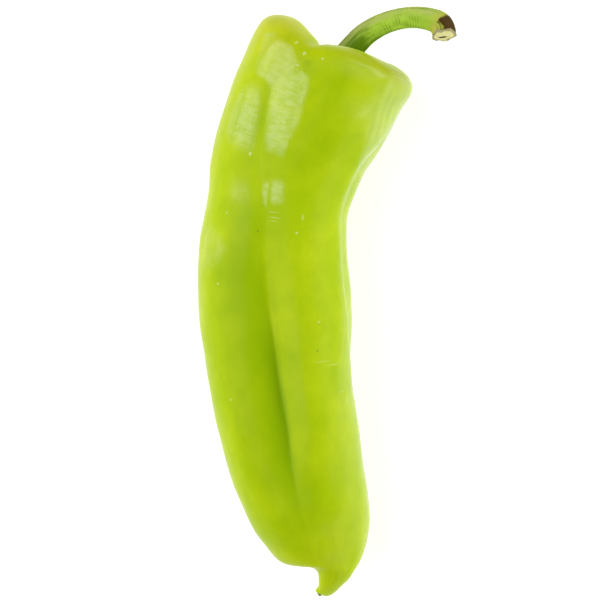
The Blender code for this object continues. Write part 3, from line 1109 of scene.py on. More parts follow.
@dataclass(frozen=True)
class SkinTints:
    """Where the skin has painted shade, painted sheen and a painted highlight, or is yellower or
    glossier, as masks that its finish reads.
    """

    painted_shade_lines: tuple[Fold, ...] = (  # painted shade: darker green left of the front furrow's line
        Fold(((0.030, 110), (0.040, 103), (0.047, 101), (0.055, 100.5), (0.064, 99.5),
              (0.075, 96), (0.087, 91.5), (0.099, 91), (0.110, 95), (0.122, 99), (0.161, 98)),
             ((0.036, 0), (0.045, 0.28), (0.058, 0.42), (0.066, 0.55), (0.075, 0.75),
              (0.088, 0.85), (0.103, 0.85), (0.113, 0.70), (0.122, 0.42), (0.131, 0.10),
              (0.138, 0)), 1.8, 17.0),
        Fold(((-0.012, 52), (-0.003, 48), (0.003, 44.5), (0.0094, 39)),  # painted shade between the pleats
             ((-0.010, 0), (-0.004, 0.35), (0.007, 0.35), (0.012, 0)), 1.5, 1.2),
        Fold(((-0.012, 44), (-0.003, 40.5), (0.003, 36.5), (0.0094, 31)),
             ((-0.010, 0), (-0.004, 0.35), (0.007, 0.35), (0.012, 0)), 1.5, 1.2),
        Fold(((-0.012, 36), (-0.002, 32.5), (0.005, 27)),
             ((-0.010, 0), (-0.004, 0.30), (0.004, 0.30), (0.009, 0)), 1.5, 1.2),
    )
    # painted shade in the cleft, beside the furrows and between the gloss bands
    painted_shade_patches: tuple[Patch, ...] = (
        Patch(0.012, 80.0, 0.018, 11.0, 0.28),
        Patch(0.050, 116.0, 0.014, 8.0, 0.25),
        Patch(-0.004, 106.0, 0.003, 5.0, 0.25),
        Patch(-0.0052, 106.0, 0.0010, 2.5, 0.45),
        Patch(0.013, 121.5, 0.008, 3.0, 0.25),
        Patch(0.123, 88.0, 0.006, 10.0, 0.25),
    )
    sunny_patches: tuple[Patch, ...] = (
        Patch(-0.016, 140.0, 0.010, 26.0, 0.80),
        Patch(0.010, 166.0, 0.045, 15.0, 0.45),
        Patch(0.150, 90.0, 0.010, 180.0, 0.20),
    )
    crest_patches: tuple[Patch, ...] = (
        Patch(-0.0150, 70.0, 0.0030, 30.0, 0.80),
        Patch(-0.0135, 35.0, 0.0030, 18.0, 0.60),
    )
    painted_sheen_lines: tuple[Fold, ...] = (  # painted light beside the right furrow's line, and painted sheen on the pleats above it
        Fold(shifted(RIGHT_CREASE, -3),
             ((0.008, 0), (0.014, 0.28), (0.060, 0.28), (0.084, 0)), 4.5, 3.0),
        Fold(((-0.012, 55), (-0.0035, 51), (0.002, 48), (0.008, 43.5), (0.013, 38.5)),
             ((-0.010, 0), (-0.004, 0.30), (0.008, 0.35), (0.014, 0)), 1.4, 2.5),
        Fold(((-0.012, 47), (-0.0025, 43.5), (0.003, 39.5), (0.008, 35.5), (0.012, 28)),
             ((-0.010, 0), (-0.004, 0.35), (0.008, 0.45), (0.013, 0)), 1.4, 3.0),
        Fold(((-0.012, 40), (-0.003, 36.5), (0.001, 33), (0.007, 28.5)),
             ((-0.010, 0), (-0.004, 0.30), (0.005, 0.40), (0.010, 0)), 1.4, 3.0),
    )
    painted_highlight_lines: tuple[Fold, ...] = (  # painted highlight: a nearly white line along the right furrow
        Fold(RIGHT_CREASE,
             ((0.006, 0), (0.011, 0.9), (0.030, 1.0), (0.060, 0.95), (0.078, 0.5), (0.088, 0)),
             1.5, 1.3),
    )
    # painted sheen on the shoulder and right side
    painted_sheen_patches: tuple[Patch, ...] = (
        Patch(0.075, 62.0, 0.040, 12.0, 0.03),
        Patch(-0.0205, 95.0, 0.0016, 30.0, 0.45),
        Patch(-0.0092, 69.0, 0.0020, 11.0, 0.34),
        Patch(0.0015, 60.0, 0.0030, 7.0, 0.18),
    )
    sheens: tuple[Sheen, ...] = (
        Sheen(  # beside the cleft and down the middle
            low=((-0.0115, 126), (-0.0060, 116), (-0.0020, 108), (-0.0010, 101), (0.0025, 96),
                 (0.0125, 93), (0.0215, 94)),
            high=((-0.0125, 125), (-0.0080, 147), (0.0025, 139), (0.0035, 135), (0.0045, 125),
                  (0.0060, 121), (0.0130, 117), (0.0205, 111), (0.0230, 107)),
            start=-0.0112, end=0.0222, soft=3.0, fade=0.0016, amount=0.78,
        ),
        Sheen(  # its brightest part
            low=((-0.0030, 117), (0.0025, 104.5), (0.0110, 100), (0.0220, 95)),
            high=((-0.0030, 134), (0.0025, 131), (0.0045, 122), (0.0060, 119), (0.0130, 115.5),
                  (0.0180, 112), (0.0230, 106)),
            start=0.0000, end=0.0205, soft=3.0, fade=0.0030, amount=1.0,
        ),
        Sheen(  # on the left lobe
            low=((0.006, 130), (0.018, 122), (0.023, 119.5)),
            high=((0.007, 141), (0.010, 145.5), (0.015, 148), (0.020, 146), (0.0245, 138)),
            start=0.0076, end=0.0226, soft=3.5, fade=0.0028, amount=0.90,
        ),
        Sheen(  # two short patches below the hollow
            low=((0.031, 100.5), (0.037, 100)),
            high=((0.031, 105), (0.033, 106), (0.038, 103)),
            start=0.0309, end=0.0374, soft=1.3, fade=0.0010, amount=0.85,
        ),
        Sheen(
            low=((0.029, 88.5), (0.035, 87), (0.037, 89)),
            high=((0.030, 99), (0.035, 97.5), (0.037, 94.5)),
            start=0.0299, end=0.0362, soft=1.8, fade=0.0012, amount=0.95,
        ),
        Sheen(  # soft patches on the left lobe
            low=((0.031, 117.5), (0.034, 115)),
            high=((0.035, 130.5), (0.038, 125.5)),
            start=0.0320, end=0.0376, soft=5.0, fade=0.0025, amount=0.36,
        ),
        Sheen(
            low=((0.0445, 139), (0.0500, 128), (0.0555, 139)),
            high=((0.045, 154), (0.055, 151)),
            start=0.0450, end=0.0546, soft=6.0, fade=0.0030, amount=0.45,
        ),
        Sheen(  # below the crest of the right shoulder
            low=((-0.0125, 50), (-0.0105, 52), (-0.0055, 76)),
            high=((-0.0125, 56), (-0.0115, 78), (-0.0100, 83), (-0.0055, 77)),
            start=-0.0118, end=-0.0064, soft=4.0, fade=0.0014, amount=0.62,
        ),
        Sheen(
            low=((-0.003, 55), (-0.0005, 51), (0.0035, 50.5), (0.005, 57)),
            high=((-0.003, 58), (0.000, 71), (0.006, 64.5)),
            start=-0.0022, end=0.0048, soft=6.0, fade=0.0024, amount=0.36,
        ),
        Sheen(  # the right flank at the shoulder
            low=((-0.020, -60), (0.020, -60)),
            high=((-0.011, 47.5), (0.003, 44.5), (0.010, 40), (0.015, 36.5), (0.022, 27)),
            start=-0.0130, end=0.0215, soft=3.5, fade=0.0020, amount=0.75,
        ),
        Sheen(  # the right flank below
            low=((0.015, -60), (0.140, -60)),
            high=((0.018, 30), (0.030, 33), (0.050, 30), (0.080, 38), (0.100, 46), (0.140, 50)),
            start=0.018, end=0.140, soft=6.0, fade=0.0040, amount=0.26,
        ),
    )
    sheen_patches: tuple[Patch, ...] = (
        Patch(0.0850, 76.0, 0.0120, 7.0, 0.05),
        Patch(0.1380, 85.0, 0.0080, 35.0, 0.12),
        Patch(0.0400, 112.0, 0.0080, 8.0, 0.08),
    )
    front_right: tuple[float, float] = (45, 75)
    front_left: tuple[float, float] = (150, 180)

    def shine(self, run: np.ndarray, angle: np.ndarray) -> np.ndarray:
        """How glossy the wax is.

        Args:
            run: The points' runs.
            angle: The points' angles.

        Returns:
            Values of 0 and more at each point.
        """
        total = soft_patches(self.sheen_patches, run, angle)
        for s in self.sheens:
            over_low = smooth_step(-s.soft, s.soft, angle - straight_through(s.low, run))
            under_high = smooth_step(-s.soft, s.soft, straight_through(s.high, run) - angle)
            begun = smooth_step(s.start - s.fade, s.start + s.fade, run)
            ended = smooth_step(s.end - s.fade, s.end + s.fade, run)
            total = np.maximum(total, s.amount * over_low * under_high * begun * (1 - ended))
        return total

    def masks(self, run: np.ndarray, angle: np.ndarray) -> dict[str, np.ndarray]:
        """All masks of the skin.

        Args:
            run: The points' runs.
            angle: The points' angles.

        Returns:
            Values from 0 to 1 at each point, by the name that the finish reads.
        """
        turned = wrapped(angle - 90) + 90
        left = smooth_step(*self.front_left, turned)
        masks = {
            # painted shade
            "painted_shade": soft_patches(self.painted_shade_patches, run, angle) + fold_lines(self.painted_shade_lines, run, angle),
            "sunny": soft_patches(self.sunny_patches, run, angle),
            "crest": soft_patches(self.crest_patches, run, angle),
            # pale is painted sheen and light
            "pale": soft_patches(self.painted_sheen_patches, run, angle) + fold_lines(self.painted_sheen_lines, run, angle),
            # white is a painted highlight
            "white": fold_lines(self.painted_highlight_lines, run, angle),
            "front": smooth_step(*self.front_right, turned) * (1 - left),
            "shine": self.shine(run, turned),
        }
        return {name: np.clip(mask, 0, 1) for name, mask in masks.items()}


@dataclass
class Fruit:
    """The three-lobed fruit."""

    finish: SkinFinish = SkinFinish()
    relief: SkinRelief = SkinRelief()
    tints: SkinTints = SkinTints()
    section_power: float = 2.25
    tip_length: float = 0.0004
    crest_run: float = -0.0195
    knob_centre: tuple[float, float, float] = (-0.0019, -0.0837, 0.0167)
    knob_reach: float = 0.0008
    knob_height: float = 0.0012
    ribs: tuple[Rib, ...] = (
        Rib(-0.0019, 0.0620, 24.0, 0.0239, 0.0226, -0.0003),
        Rib(-0.0046, 0.0564, 21.0, 0.0239, 0.0222, -0.0004),
        Rib(-0.0072, 0.0504, 19.0, 0.0233, 0.0216, -0.0001),
        Rib(-0.0100, 0.0441, 17.0, 0.0224, 0.0209, 0.0005),
        Rib(-0.0122, 0.0367, 13.5, 0.0215, 0.0203, 0.0010),
        Rib(-0.0137, 0.0292, 10.0, 0.0207, 0.0199, 0.0013),
        Rib(-0.0150, 0.0204, 5.5, 0.0213, 0.0201, 0.0013),
        Rib(-0.0154, 0.0109, 2.0, 0.0219, 0.0204, 0.0011),
        Rib(-0.0149, 0.0014, -1.0, 0.0224, 0.0206, 0.0009),
        Rib(-0.0141, -0.0079, -4.0, 0.0223, 0.0205, 0.0008),
        Rib(-0.0136, -0.0171, -7.0, 0.0213, 0.0202, 0.0007),
        Rib(-0.0128, -0.0266, -10.0, 0.0207, 0.0198, 0.0005),
        Rib(-0.0111, -0.0358, -12.0, 0.0204, 0.0194, 0.0001),
        Rib(-0.0091, -0.0450, -13.0, 0.0196, 0.0187, -0.0004),
        Rib(-0.0067, -0.0543, -14.0, 0.0184, 0.0175, -0.0003),
        Rib(-0.0044, -0.0620, -14.0, 0.0173, 0.0159, 0.0008),
        Rib(-0.0023, -0.0683, -13.0, 0.0151, 0.0136, 0.0027),
        Rib(-0.0015, -0.0731, -8.0, 0.0127, 0.0112, 0.0054),
        Rib(-0.0007, -0.0756, -3.0, 0.0104, 0.0089, 0.0086),
        Rib(0.0010, -0.0767, 1.0, 0.0077, 0.0070, 0.0116),
        Rib(0.0020, -0.0772, 3.0, 0.0062, 0.0058, 0.0136),
        Rib(0.0024, -0.0782, 4.0, 0.0052, 0.0051, 0.0144),
        Rib(0.0019, -0.0805, 3.0, 0.0042, 0.0042, 0.0145),
        Rib(0.0010, -0.0825, 0.0, 0.0032, 0.0033, 0.0144),
        Rib(0.0004, -0.0841, -2.0, 0.0023, 0.0024, 0.0143),
        Rib(0.0001, -0.0850, -2.0, 0.0013, 0.0013, 0.0149),
    )
    shoulder: tuple[Lift, ...] = (
        Lift(0.0042, 1.008, 0.0001),
        Lift(0.0082, 1.010, 0.0003),
        Lift(0.0117, 0.980, 0.0003),
        Lift(0.0141, 0.885, 0.0002),
        Lift(0.0153, 0.760, 0.0002),
        Lift(0.0156, 0.635, 0.0004),
        Lift(0.0143, 0.510, 0.0008),
        Lift(0.0113, 0.395, 0.0012),
        Lift(0.0087, 0.275, 0.0015),
        Lift(0.0073, 0.145, 0.0018),
        Lift(0.0068, 0.000, 0.0020),
    )
    front_furrow: Furrow = Furrow(
        angle=((-0.039, 113), (-0.020, 110), (-0.010, 106.5), (-0.005, 109), (0.000, 113.5),
               (0.005, 118), (0.009, 120), (0.0145, 118), (0.0215, 115), (0.028, 110),
               (0.034, 103.5), (0.040, 98), (0.047, 94.5), (0.055, 92.5), (0.073, 91),
               (0.083, 89.5), (0.093, 88.5), (0.103, 90.5), (0.113, 94.5), (0.122, 97),
               (0.161, 98)),
        depth=((-0.039, 0), (-0.030, 0.04), (-0.020, 0.12), (-0.011, 0.08), (0.000, 0.055),
               (0.012, 0.055), (0.034, 0.060), (0.048, 0.095), (0.062, 0.16), (0.077, 0.22),
               (0.094, 0.245), (0.106, 0.19), (0.116, 0.11), (0.126, 0.04), (0.138, 0.0),
               (0.161, 0.0)),
        below=((-0.039, 10), (-0.012, 10), (0.000, 20), (0.024, 20), (0.045, 11), (0.060, 8),
               (0.161, 8)),
        above=((-0.039, 14), (-0.012, 14), (0.000, 8), (0.024, 8), (0.045, 13), (0.065, 22),
               (0.161, 22)),
    )
    right_furrow: Furrow = Furrow(
        angle=RIGHT_CREASE,
        depth=((-0.039, 0), (-0.028, 0.01), (-0.018, 0.02), (-0.006, 0.012), (0.006, 0.02),
               (0.018, 0.06), (0.040, 0.085), (0.060, 0.08), (0.078, 0.055), (0.100, 0.05),
               (0.120, 0.025), (0.138, 0), (0.161, 0)),
        below=((-0.039, 9), (0.161, 9)),
        above=((-0.039, 5), (0.161, 5)),
    )
    back_furrow: Furrow = Furrow(
        angle=((-0.039, 258), (0.0, 260), (0.05, 263), (0.10, 262), (0.161, 260)),
        depth=((-0.039, 0), (-0.030, 0.03), (-0.019, 0.13), (-0.008, 0.11), (0.010, 0.10),
               (0.050, 0.11), (0.085, 0.12), (0.110, 0.08), (0.126, 0.03), (0.140, 0),
               (0.161, 0)),
        below=((-0.039, 11), (0.161, 11)),
        above=((-0.039, 11), (0.161, 11)),
    )
    swellings: tuple[Swelling, ...] = (
        Swelling(237, 20, 0.100, -0.016, 0.000, 0.110, 0.140),
        Swelling(290, 18, 0.018, 0.015, 0.040, 0.110, 0.140),
        Swelling(137, 14, 0.020, -0.004, 0.010, 0.105, 0.130),
        Swelling(72, 12, 0.022, -0.004, 0.010, 0.105, 0.125),
        Swelling(1, 43, 0.052, -0.0229, -0.0197, -0.0134, -0.0032),
    )
    waves: tuple[Wave, ...] = (
        Wave(0.0060, 0.043, 1, 0.4),
        Wave(0.0045, 0.029, 2, 2.1),
        Wave(0.0035, 0.071, 3, 4.0),
    )
    crest_dips: tuple[Dip, ...] = (
        Dip(113, 21, 0.0034),
        Dip(113, 5, 0.0012),
        Dip(47, 40, 0.0014),
        Dip(258, 15, 0.0016),
        Dip(270, 31, 0.0038),
    )
    ring_zones: tuple[tuple[float, float, int], ...] = (
        (-0.0390, -0.022, 36), (-0.022, 0.000, 58), (0.000, 0.130, 216),
        (0.130, 0.151, 42), (0.151, 0.161, 32),
    )
    lobe_sides: tuple[int, int, int] = (64, 104, 80)
    crowding: float = 0.55

    def __post_init__(self) -> None:
        """Lays the ribs out along the run."""
        self.furrows = (self.right_furrow, self.front_furrow, self.back_furrow)
        self.rib_runs, self.rib_rows = self.lay_ribs()

    def radius_share(self, run: np.ndarray, angle: np.ndarray) -> np.ndarray:
        """How far the skin stands from the rib's centre, as a share of the rib's half size.

        Args:
            run: The points' runs.
            angle: The points' angles.

        Returns:
            The shares.
        """
        turn = np.radians(angle)
        power = self.section_power
        oval = (np.abs(np.cos(turn)) ** power + np.abs(np.sin(turn)) ** power) ** (-1 / power)
        share = np.ones_like(angle)
        for furrow in self.furrows:
            angle_off = angle - through(furrow.angle, run)
            depth = np.maximum(through(furrow.depth, run), 0)
            below, above = straight_through(furrow.below, run), straight_through(furrow.above, run)
            share -= depth * crease(angle_off, below, above)
        for s in self.swellings:
            present = smooth_step(s.start, s.full, run) * (1 - smooth_step(s.fade, s.end, run))
            share += s.height * present * bell(angle - s.angle, s.reach)
        for wave in self.waves:
            slow = 2 * np.pi * run / wave.length + wave.turns * turn + wave.phase
            share += wave.height * np.sin(slow)
        return oval * share

    def belly_share(self, run: float) -> float:
        """How far a rib reaches down.

        Args:
            run: The rib's run.

        Returns:
            The reach as a share of the rib's half depth.
        """
        angle = np.linspace(180, 360, 181)
        reach = self.radius_share(np.full_like(angle, run), angle)
        return float(np.max(-np.sin(np.radians(angle)) * reach))

    def lay_ribs(self) -> tuple[np.ndarray, np.ndarray]:
        """Lays out the shoulder's ribs, the body's ribs and the tip.

        Returns:
            The runs of all ribs, and their x, y, z, lean, half width and half depth.
        """
        first = self.ribs[0]
        lean = math.radians(first.lean)
        up = np.array([math.sin(lean), math.cos(lean)])
        across = np.array([math.cos(lean), -math.sin(lean)])
        rows = []
        for lift in reversed(self.shoulder):
            x, y = np.array([first.x, first.y]) + lift.height * up + lift.shift * across
            size = (lift.share * first.half_width, lift.share * first.half_depth)
            rows.append([x, y, 0.0, first.lean, *size])
        rows += [[r.x, r.y, 0.0, r.lean, r.half_width, r.half_depth] for r in self.ribs]
        last = rows[-1]
        rows.append([last[0], last[1] - self.tip_length, 0.0, last[3], 0.0, 0.0])
        table = np.array(rows)
        leans = np.radians(table[:, 3])
        sideways = np.stack([np.cos(leans), -np.sin(leans)], axis=1)
        ends = [table[:, :2] + side * sideways * table[:, 4:5] for side in (-1, 1)]
        steps = np.mean([np.linalg.norm(np.diff(end, axis=0), axis=1) for end in ends], axis=0)
        run = np.concatenate([[0], np.cumsum(steps)])
        count = len(self.shoulder)
        run -= run[count]
        for i, rib in enumerate(self.ribs):
            table[count + i, 2] = rib.clearance + rib.half_depth * self.belly_share(run[count + i])
        table[:count, 2] = table[count, 2]
        table[-1, 2] = table[-2, 2]
        return run, table

    def crest_drop(self, run: np.ndarray, angle: np.ndarray) -> np.ndarray:
        """How far the shoulder is let down, most at its crest.

        Args:
            run: The points' runs.
            angle: The points' angles.

        Returns:
            The depths.
        """
        rising = smooth_step(self.rib_runs[0], self.crest_run, run)
        falling = 1 - smooth_step(self.crest_run, 0.0, run)
        dips = sum(dip.depth * bell(angle - dip.angle, dip.reach) for dip in self.crest_dips)
        return rising * falling * dips

    def skin(self, run: np.ndarray, angle: np.ndarray) -> tuple[np.ndarray, np.ndarray]:
        """The skin without its fine relief.

        Args:
            run: Runs.
            angle: Angles, which go with the runs or spread against them.

        Returns:
            The points, and the directions away from the ribs' centres.
        """
        run, angle = np.broadcast_arrays(np.asarray(run, float), np.asarray(angle, float))
        rib = spline(self.rib_runs, self.rib_rows, run.ravel()).reshape(*run.shape, 6)
        lean, turn = np.radians(rib[..., 3]), np.radians(angle)
        share = self.radius_share(run, angle)
        out = rib[..., 4] * share * np.cos(turn)
        drop = self.crest_drop(run, angle)
        x = rib[..., 0] + out * np.cos(lean) - drop * np.sin(lean)
        y = rib[..., 1] - out * np.sin(lean) - drop * np.cos(lean)
        z = rib[..., 2] + rib[..., 5] * share * np.sin(turn)
        skin = np.stack([x, y, z], axis=-1)
        away = skin - rib[..., :3]
        away /= np.maximum(np.linalg.norm(away, axis=-1, keepdims=True), 1e-9)
        off_knob = np.sum((skin - self.knob_centre) ** 2, axis=-1)
        near_knob = np.exp(-0.5 * off_knob / self.knob_reach**2)
        return skin + self.knob_height * near_knob[..., None] * away, away

    def lobe_angles(self, run: np.ndarray) -> np.ndarray:
        """Angles round each ring, with a side along every furrow and the rest crowded there.

        Args:
            run: The rings' runs.

        Returns:
            A row of angles for each ring.
        """
        right, front, back = (through(furrow.angle, run)[:, None] for furrow in self.furrows)
        columns = []
        arcs = zip((right, front, back), (front, back, right + 360), self.lobe_sides)
        for start, end, sides in arcs:
            share = np.arange(sides) / sides
            share = share - self.crowding * np.sin(2 * np.pi * share) / (2 * np.pi)
            columns.append(start + (end - start) * share)
        return np.concatenate(columns, axis=1)

    def build(self, effects: Effects) -> bpy.types.Object:
        """Builds the skin, dressed and carried by the frame.

        Args:
            effects: The shared effects.

        Returns:
            The finished piece.
        """
        runs = np.concatenate([np.linspace(a, b, n, endpoint=False) for a, b, n in self.ring_zones])
        runs = runs[(runs > self.rib_runs[0]) & (runs < self.rib_runs[-1])]
        angle = self.lobe_angles(runs)
        run = np.broadcast_to(runs[:, None], angle.shape).copy()
        skin, away = self.skin(run, angle)
        skin = skin + self.relief.height(run, angle, skin)[..., None] * away
        skin[..., 2] = np.maximum(skin[..., 2], 0)
        rings, sides = angle.shape
        points = np.concatenate([skin.reshape(-1, 3), self.rib_rows[[0, -1], :3]])
        faces = ring_faces(rings, sides)
        faces += cap_faces(0, sides, rings * sides)
        faces += cap_faces((rings - 1) * sides, sides, rings * sides + 1)
        piece = mesh_object("pepper_skin", points, faces, self.finish.make(effects))
        ends = [[0, 0, self.rib_runs[0]], [0, 0, self.rib_runs[-1]]]
        carry(piece, "straight", np.concatenate([straight_place(run, angle).reshape(-1, 3), ends]))
        for name, mask in self.tints.masks(run, angle).items():
            mask = mask.ravel()
            carry(piece, name, np.concatenate([mask, [0, mask[-1]]]))
        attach(piece, "root")
        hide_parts("fruit")
        return piece

    def up(self) -> np.ndarray:
        """The direction in which the stem end points."""
        lean = math.radians(self.ribs[0].lean)
        return np.array([math.sin(lean), math.cos(lean), 0.0])


@dataclass
class Calyx:
    """The cap that follows the basin just above the skin and carries the stem on a flat hub."""

    fruit: Fruit
    finish: CalyxFinish = CalyxFinish()
    gap: float = 0.00045
    radius: float = 0.0078
    teeth: int = 5
    tooth_length: float = 0.0018
    tooth_turn: float = 40.0
    hub_radius: float = 0.0043
    hub_height: float = 0.0014
    thickness: float = 0.0013
    edge_thickness: float = 0.0006
    rib_height: float = 0.0005
    rib_tint: float = 0.6
    vein_height: float = 0.00012
    veins: int = 35
    rings: int = 34
    sides: int = 240

    def build(self, effects: Effects) -> bpy.types.Object:
        """Builds the calyx, dressed and carried by the frame.

        Args:
            effects: The shared effects.

        Returns:
            The finished piece.
        """
        up = self.fruit.up()
        angle = np.arange(self.sides) * 360 / self.sides
        turn = np.radians(angle - self.tooth_turn)
        tooth = (0.5 + 0.5 * np.cos(self.teeth * turn)) ** 2
        share = np.linspace(0, 1, self.rings)[:, None]
        brim = self.radius - self.hub_radius + self.tooth_length * tooth
        inner = np.full_like(angle, self.hub_radius / 2)[None]
        from_centre = np.concatenate([inner, self.hub_radius + share * brim])
        floor = self.fruit.rib_rows[0, :3] + self.gap * up
        underside = self.fruit.skin(self.fruit.rib_runs[0] + from_centre, angle)[0] + self.gap * up
        height = (underside - floor) @ up
        thickness = self.thickness + self.rib_height * (tooth - 0.5)
        thickness = thickness + (self.edge_thickness - thickness) * share**3
        vein = self.vein_height * np.cos(self.veins * turn) * np.sin(np.pi * share)
        top = underside.copy()
        top[:2] += (self.hub_height - height[:2])[..., None] * up
        top[2:] += (thickness + vein)[1:, :, None] * up
        rings, sides = top.shape[:2]
        count = rings * sides
        ends = np.array([floor + self.hub_height * up, floor])
        points = np.concatenate([top.reshape(-1, 3), underside.reshape(-1, 3), ends])
        faces = ring_faces(rings, sides) + ring_faces(rings, sides, count)
        last = (rings - 1) * sides
        faces += [[last + j, last + (j + 1) % sides, count + last + (j + 1) % sides, count + last + j]
                  for j in range(sides)]
        faces += cap_faces(0, sides, 2 * count) + cap_faces(count, sides, 2 * count + 1)
        piece = mesh_object("calyx_cap", points, faces, self.finish.make(effects))
        rib = np.broadcast_to(tooth**2 * self.rib_tint, top.shape[:2]).ravel()
        edge = np.broadcast_to(np.concatenate([[[0.0]], share**6]), top.shape[:2]).ravel()
        for name, mask in {"rib": rib, "edge": edge}.items():
            carry(piece, name, np.concatenate([mask, mask, [0, 0]]))
        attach(piece, "root")
        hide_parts("calyx")
        return piece


@dataclass
class Stem:
    """The stalk: a ribbed tube swept along its line by geometry nodes."""

    fruit: Fruit
    calyx: Calyx
    finish: StemFinish = StemFinish()
    gap: float = 0.0003
    foot_radius: float = 0.0037
    points: tuple[tuple[float, float, float, float], ...] = (
        (0.0053, 0.0717, 0.0221, 0.00355),
        (0.0078, 0.0744, 0.0228, 0.00350),
        (0.0101, 0.0768, 0.0236, 0.00340),
        (0.0140, 0.0795, 0.0247, 0.00318),
        (0.0183, 0.0813, 0.0257, 0.00302),
        (0.0226, 0.0822, 0.0264, 0.00298),
        (0.0264, 0.0823, 0.0271, 0.00305),
        (0.0301, 0.0816, 0.0279, 0.00322),
        (0.0328, 0.0802, 0.0290, 0.00338),
        (0.0338, 0.0769, 0.0305, 0.00342),
    )
    length: float = 0.045
    ribs: int = 5
    rib_height: float = 0.055
    twist: float = 25.0
    rings: int = 220
    sides: int = 120
    guide_points: int = 90
    tube_end: float = 0.988
    wrinkle_length: float = 0.00095
    wrinkle_height: float = 0.00010
    wrinkle_patches: float = 420.0
    grain_scale: float = 900.0
    grain_height: float = 0.00012
    brown_edge: Strip = Strip(178.0, 28.0, -2.0, -1.0, 0.25, 0.75)
    olive_back: Strip = Strip(150.0, 46.0, -2.0, -1.0, 0.80, 0.97)
    # painted light on the lit side and ridge
    lit_side: Strip = Strip(80.0, 70.0, 0.10, 0.50, 2.0, 3.0)
    lit_ridge: Strip = Strip(130.0, 7.0, 0.40, 0.50, 2.0, 3.0)
    # where the painted shade in the wrinkles shows
    wrinkle_shade_side: Strip = Strip(45.0, 38.0, 0.40, 0.50, 0.74, 0.84)
    bruise: Strip = Strip(140.0, 62.0, 0.865, 0.93, 2.0, 3.0)
    ridge_tint: float = 0.5
    ridge_turn: float = 45.0
    ridge_bend: tuple[float, float] = (0.72, 0.88)
    straw_start: tuple[float, float] = (0.80, 0.93)
    straw_tint: float = 0.85
    broken: Unevenness = Unevenness(1.0, 0.003, 20, 8)
    broken_edge: tuple[float, float] = (-0.3, 0.5)

    def line(self, at: np.ndarray) -> tuple[np.ndarray, np.ndarray, np.ndarray]:
        """The stem's line.

        Args:
            at: Shares of its length, from 0 at the foot to 1 at the cut.

        Returns:
            The centres, the directions and the radii there.
        """
        up = self.fruit.up()
        floor = self.fruit.rib_rows[0, :3]
        foot = floor + (self.calyx.gap + self.calyx.hub_height + self.gap) * up
        points = np.array([(*foot, self.foot_radius), *self.points])
        steps = np.linalg.norm(np.diff(points[:, :3], axis=0), axis=1)
        knots = np.concatenate([[0], np.cumsum(steps)])
        run, small = at * knots[-1], 1e-5
        line = spline(knots, points, run)
        ahead = spline(knots, points, np.minimum(run + small, knots[-1]))
        behind = spline(knots, points, np.maximum(run - small, 0))
        forward = ahead[:, :3] - behind[:, :3]
        return line[:, :3], forward / np.linalg.norm(forward, axis=1, keepdims=True), line[:, 3]

    def sweep_tree(self) -> bpy.types.NodeTree:
        """Geometry nodes that sweep a round profile along the line and raise ribs on it.

        Returns:
            The node group.
        """
        desk, given, result = new_group(
            "ribbed_stalk", "GeometryNodeTree",
            {"Line": SOLID, "Rings": WHOLE, "Sides": WHOLE, "Ribs": WHOLE, "Rib Height": NUMBER,
             "Twist": NUMBER, "Wrinkles": NUMBER, "Wrinkle Height": NUMBER,
             "Wrinkle Patches": NUMBER, "Grain": NUMBER, "Grain Height": NUMBER, "Finish": FINISH},
            {"Stalk": SOLID},
        )
        values = given.outputs
        inputs = {"Curve": values["Line"], "Count": values["Rings"]}
        even = desk.add("GeometryNodeResampleCurve", inputs)
        upright = desk.add("GeometryNodeSetCurveNormal", {"Curve": even.outputs[0]}, mode="Z_UP")
        along = desk.add("GeometryNodeSplineParameter").outputs["Factor"]
        path = desk.store(upright.outputs[0], "share_along", along)
        inputs = {"Resolution": values["Sides"], "Radius": 1.0}
        circle = desk.add("GeometryNodeCurvePrimitiveCircle", inputs)
        around = desk.add("GeometryNodeSplineParameter").outputs["Factor"]
        profile = desk.store(circle.outputs["Curve"], "share_round", around)
        radius = desk.add("GeometryNodeInputRadius").outputs[0]
        inputs = {"Curve": path, "Profile Curve": profile, "Scale": radius, "Fill Caps": True}
        tube = desk.add("GeometryNodeCurveToMesh", inputs)
        at = desk.stored("share_along")
        radians = desk.maths("MULTIPLY", desk.stored("share_round"), 2 * math.pi)
        twisted = desk.maths("MULTIPLY_ADD", at, values["Twist"], radians)
        rib = desk.maths("COSINE", desk.maths("MULTIPLY", twisted, values["Ribs"]))
        rib = desk.maths("MULTIPLY", rib, values["Rib Height"])
        place = desk.add("GeometryNodeInputPosition").outputs[0]
        broken = desk.fade(desk.noise(place, values["Wrinkle Patches"]), low=0.40, high=0.65)
        wave = desk.maths("SINE", desk.maths("MULTIPLY", at, values["Wrinkles"]))
        wave = desk.maths("MULTIPLY", wave, broken)
        wave = desk.maths("MULTIPLY", wave, values["Wrinkle Height"])
        inner = desk.fade(at, low=0.25, high=0.45)
        inner = desk.maths("MULTIPLY", inner, desk.fade(at, low=0.80, high=0.92, start=1.0, end=0.0))
        rough = desk.maths("SUBTRACT", desk.noise(place, values["Grain"]), 0.5)
        rough = desk.maths("MULTIPLY", rough, values["Grain Height"])
        height = desk.maths("MULTIPLY_ADD", wave, inner, desk.maths("ADD", rib, rough))
        normal = desk.add("GeometryNodeInputNormal").outputs["Normal"]
        lift = desk.add("ShaderNodeVectorMath", {0: normal, "Scale": height}, operation="SCALE")
        inputs = {"Geometry": tube.outputs[0], "Offset": lift.outputs[0]}
        moved = desk.add("GeometryNodeSetPosition", inputs)
        merged = desk.add("GeometryNodeMergeByDistance", {0: moved.outputs[0], "Distance": 1e-7})
        real = desk.add("GeometryNodeRealizeInstances", {"Geometry": merged.outputs[0]})
        inputs = {"Geometry": real.outputs[0], "Material": values["Finish"]}
        dressed = desk.add("GeometryNodeSetMaterial", inputs)
        desk.feed(result.inputs["Stalk"], dressed.outputs[0])
        return desk.tree

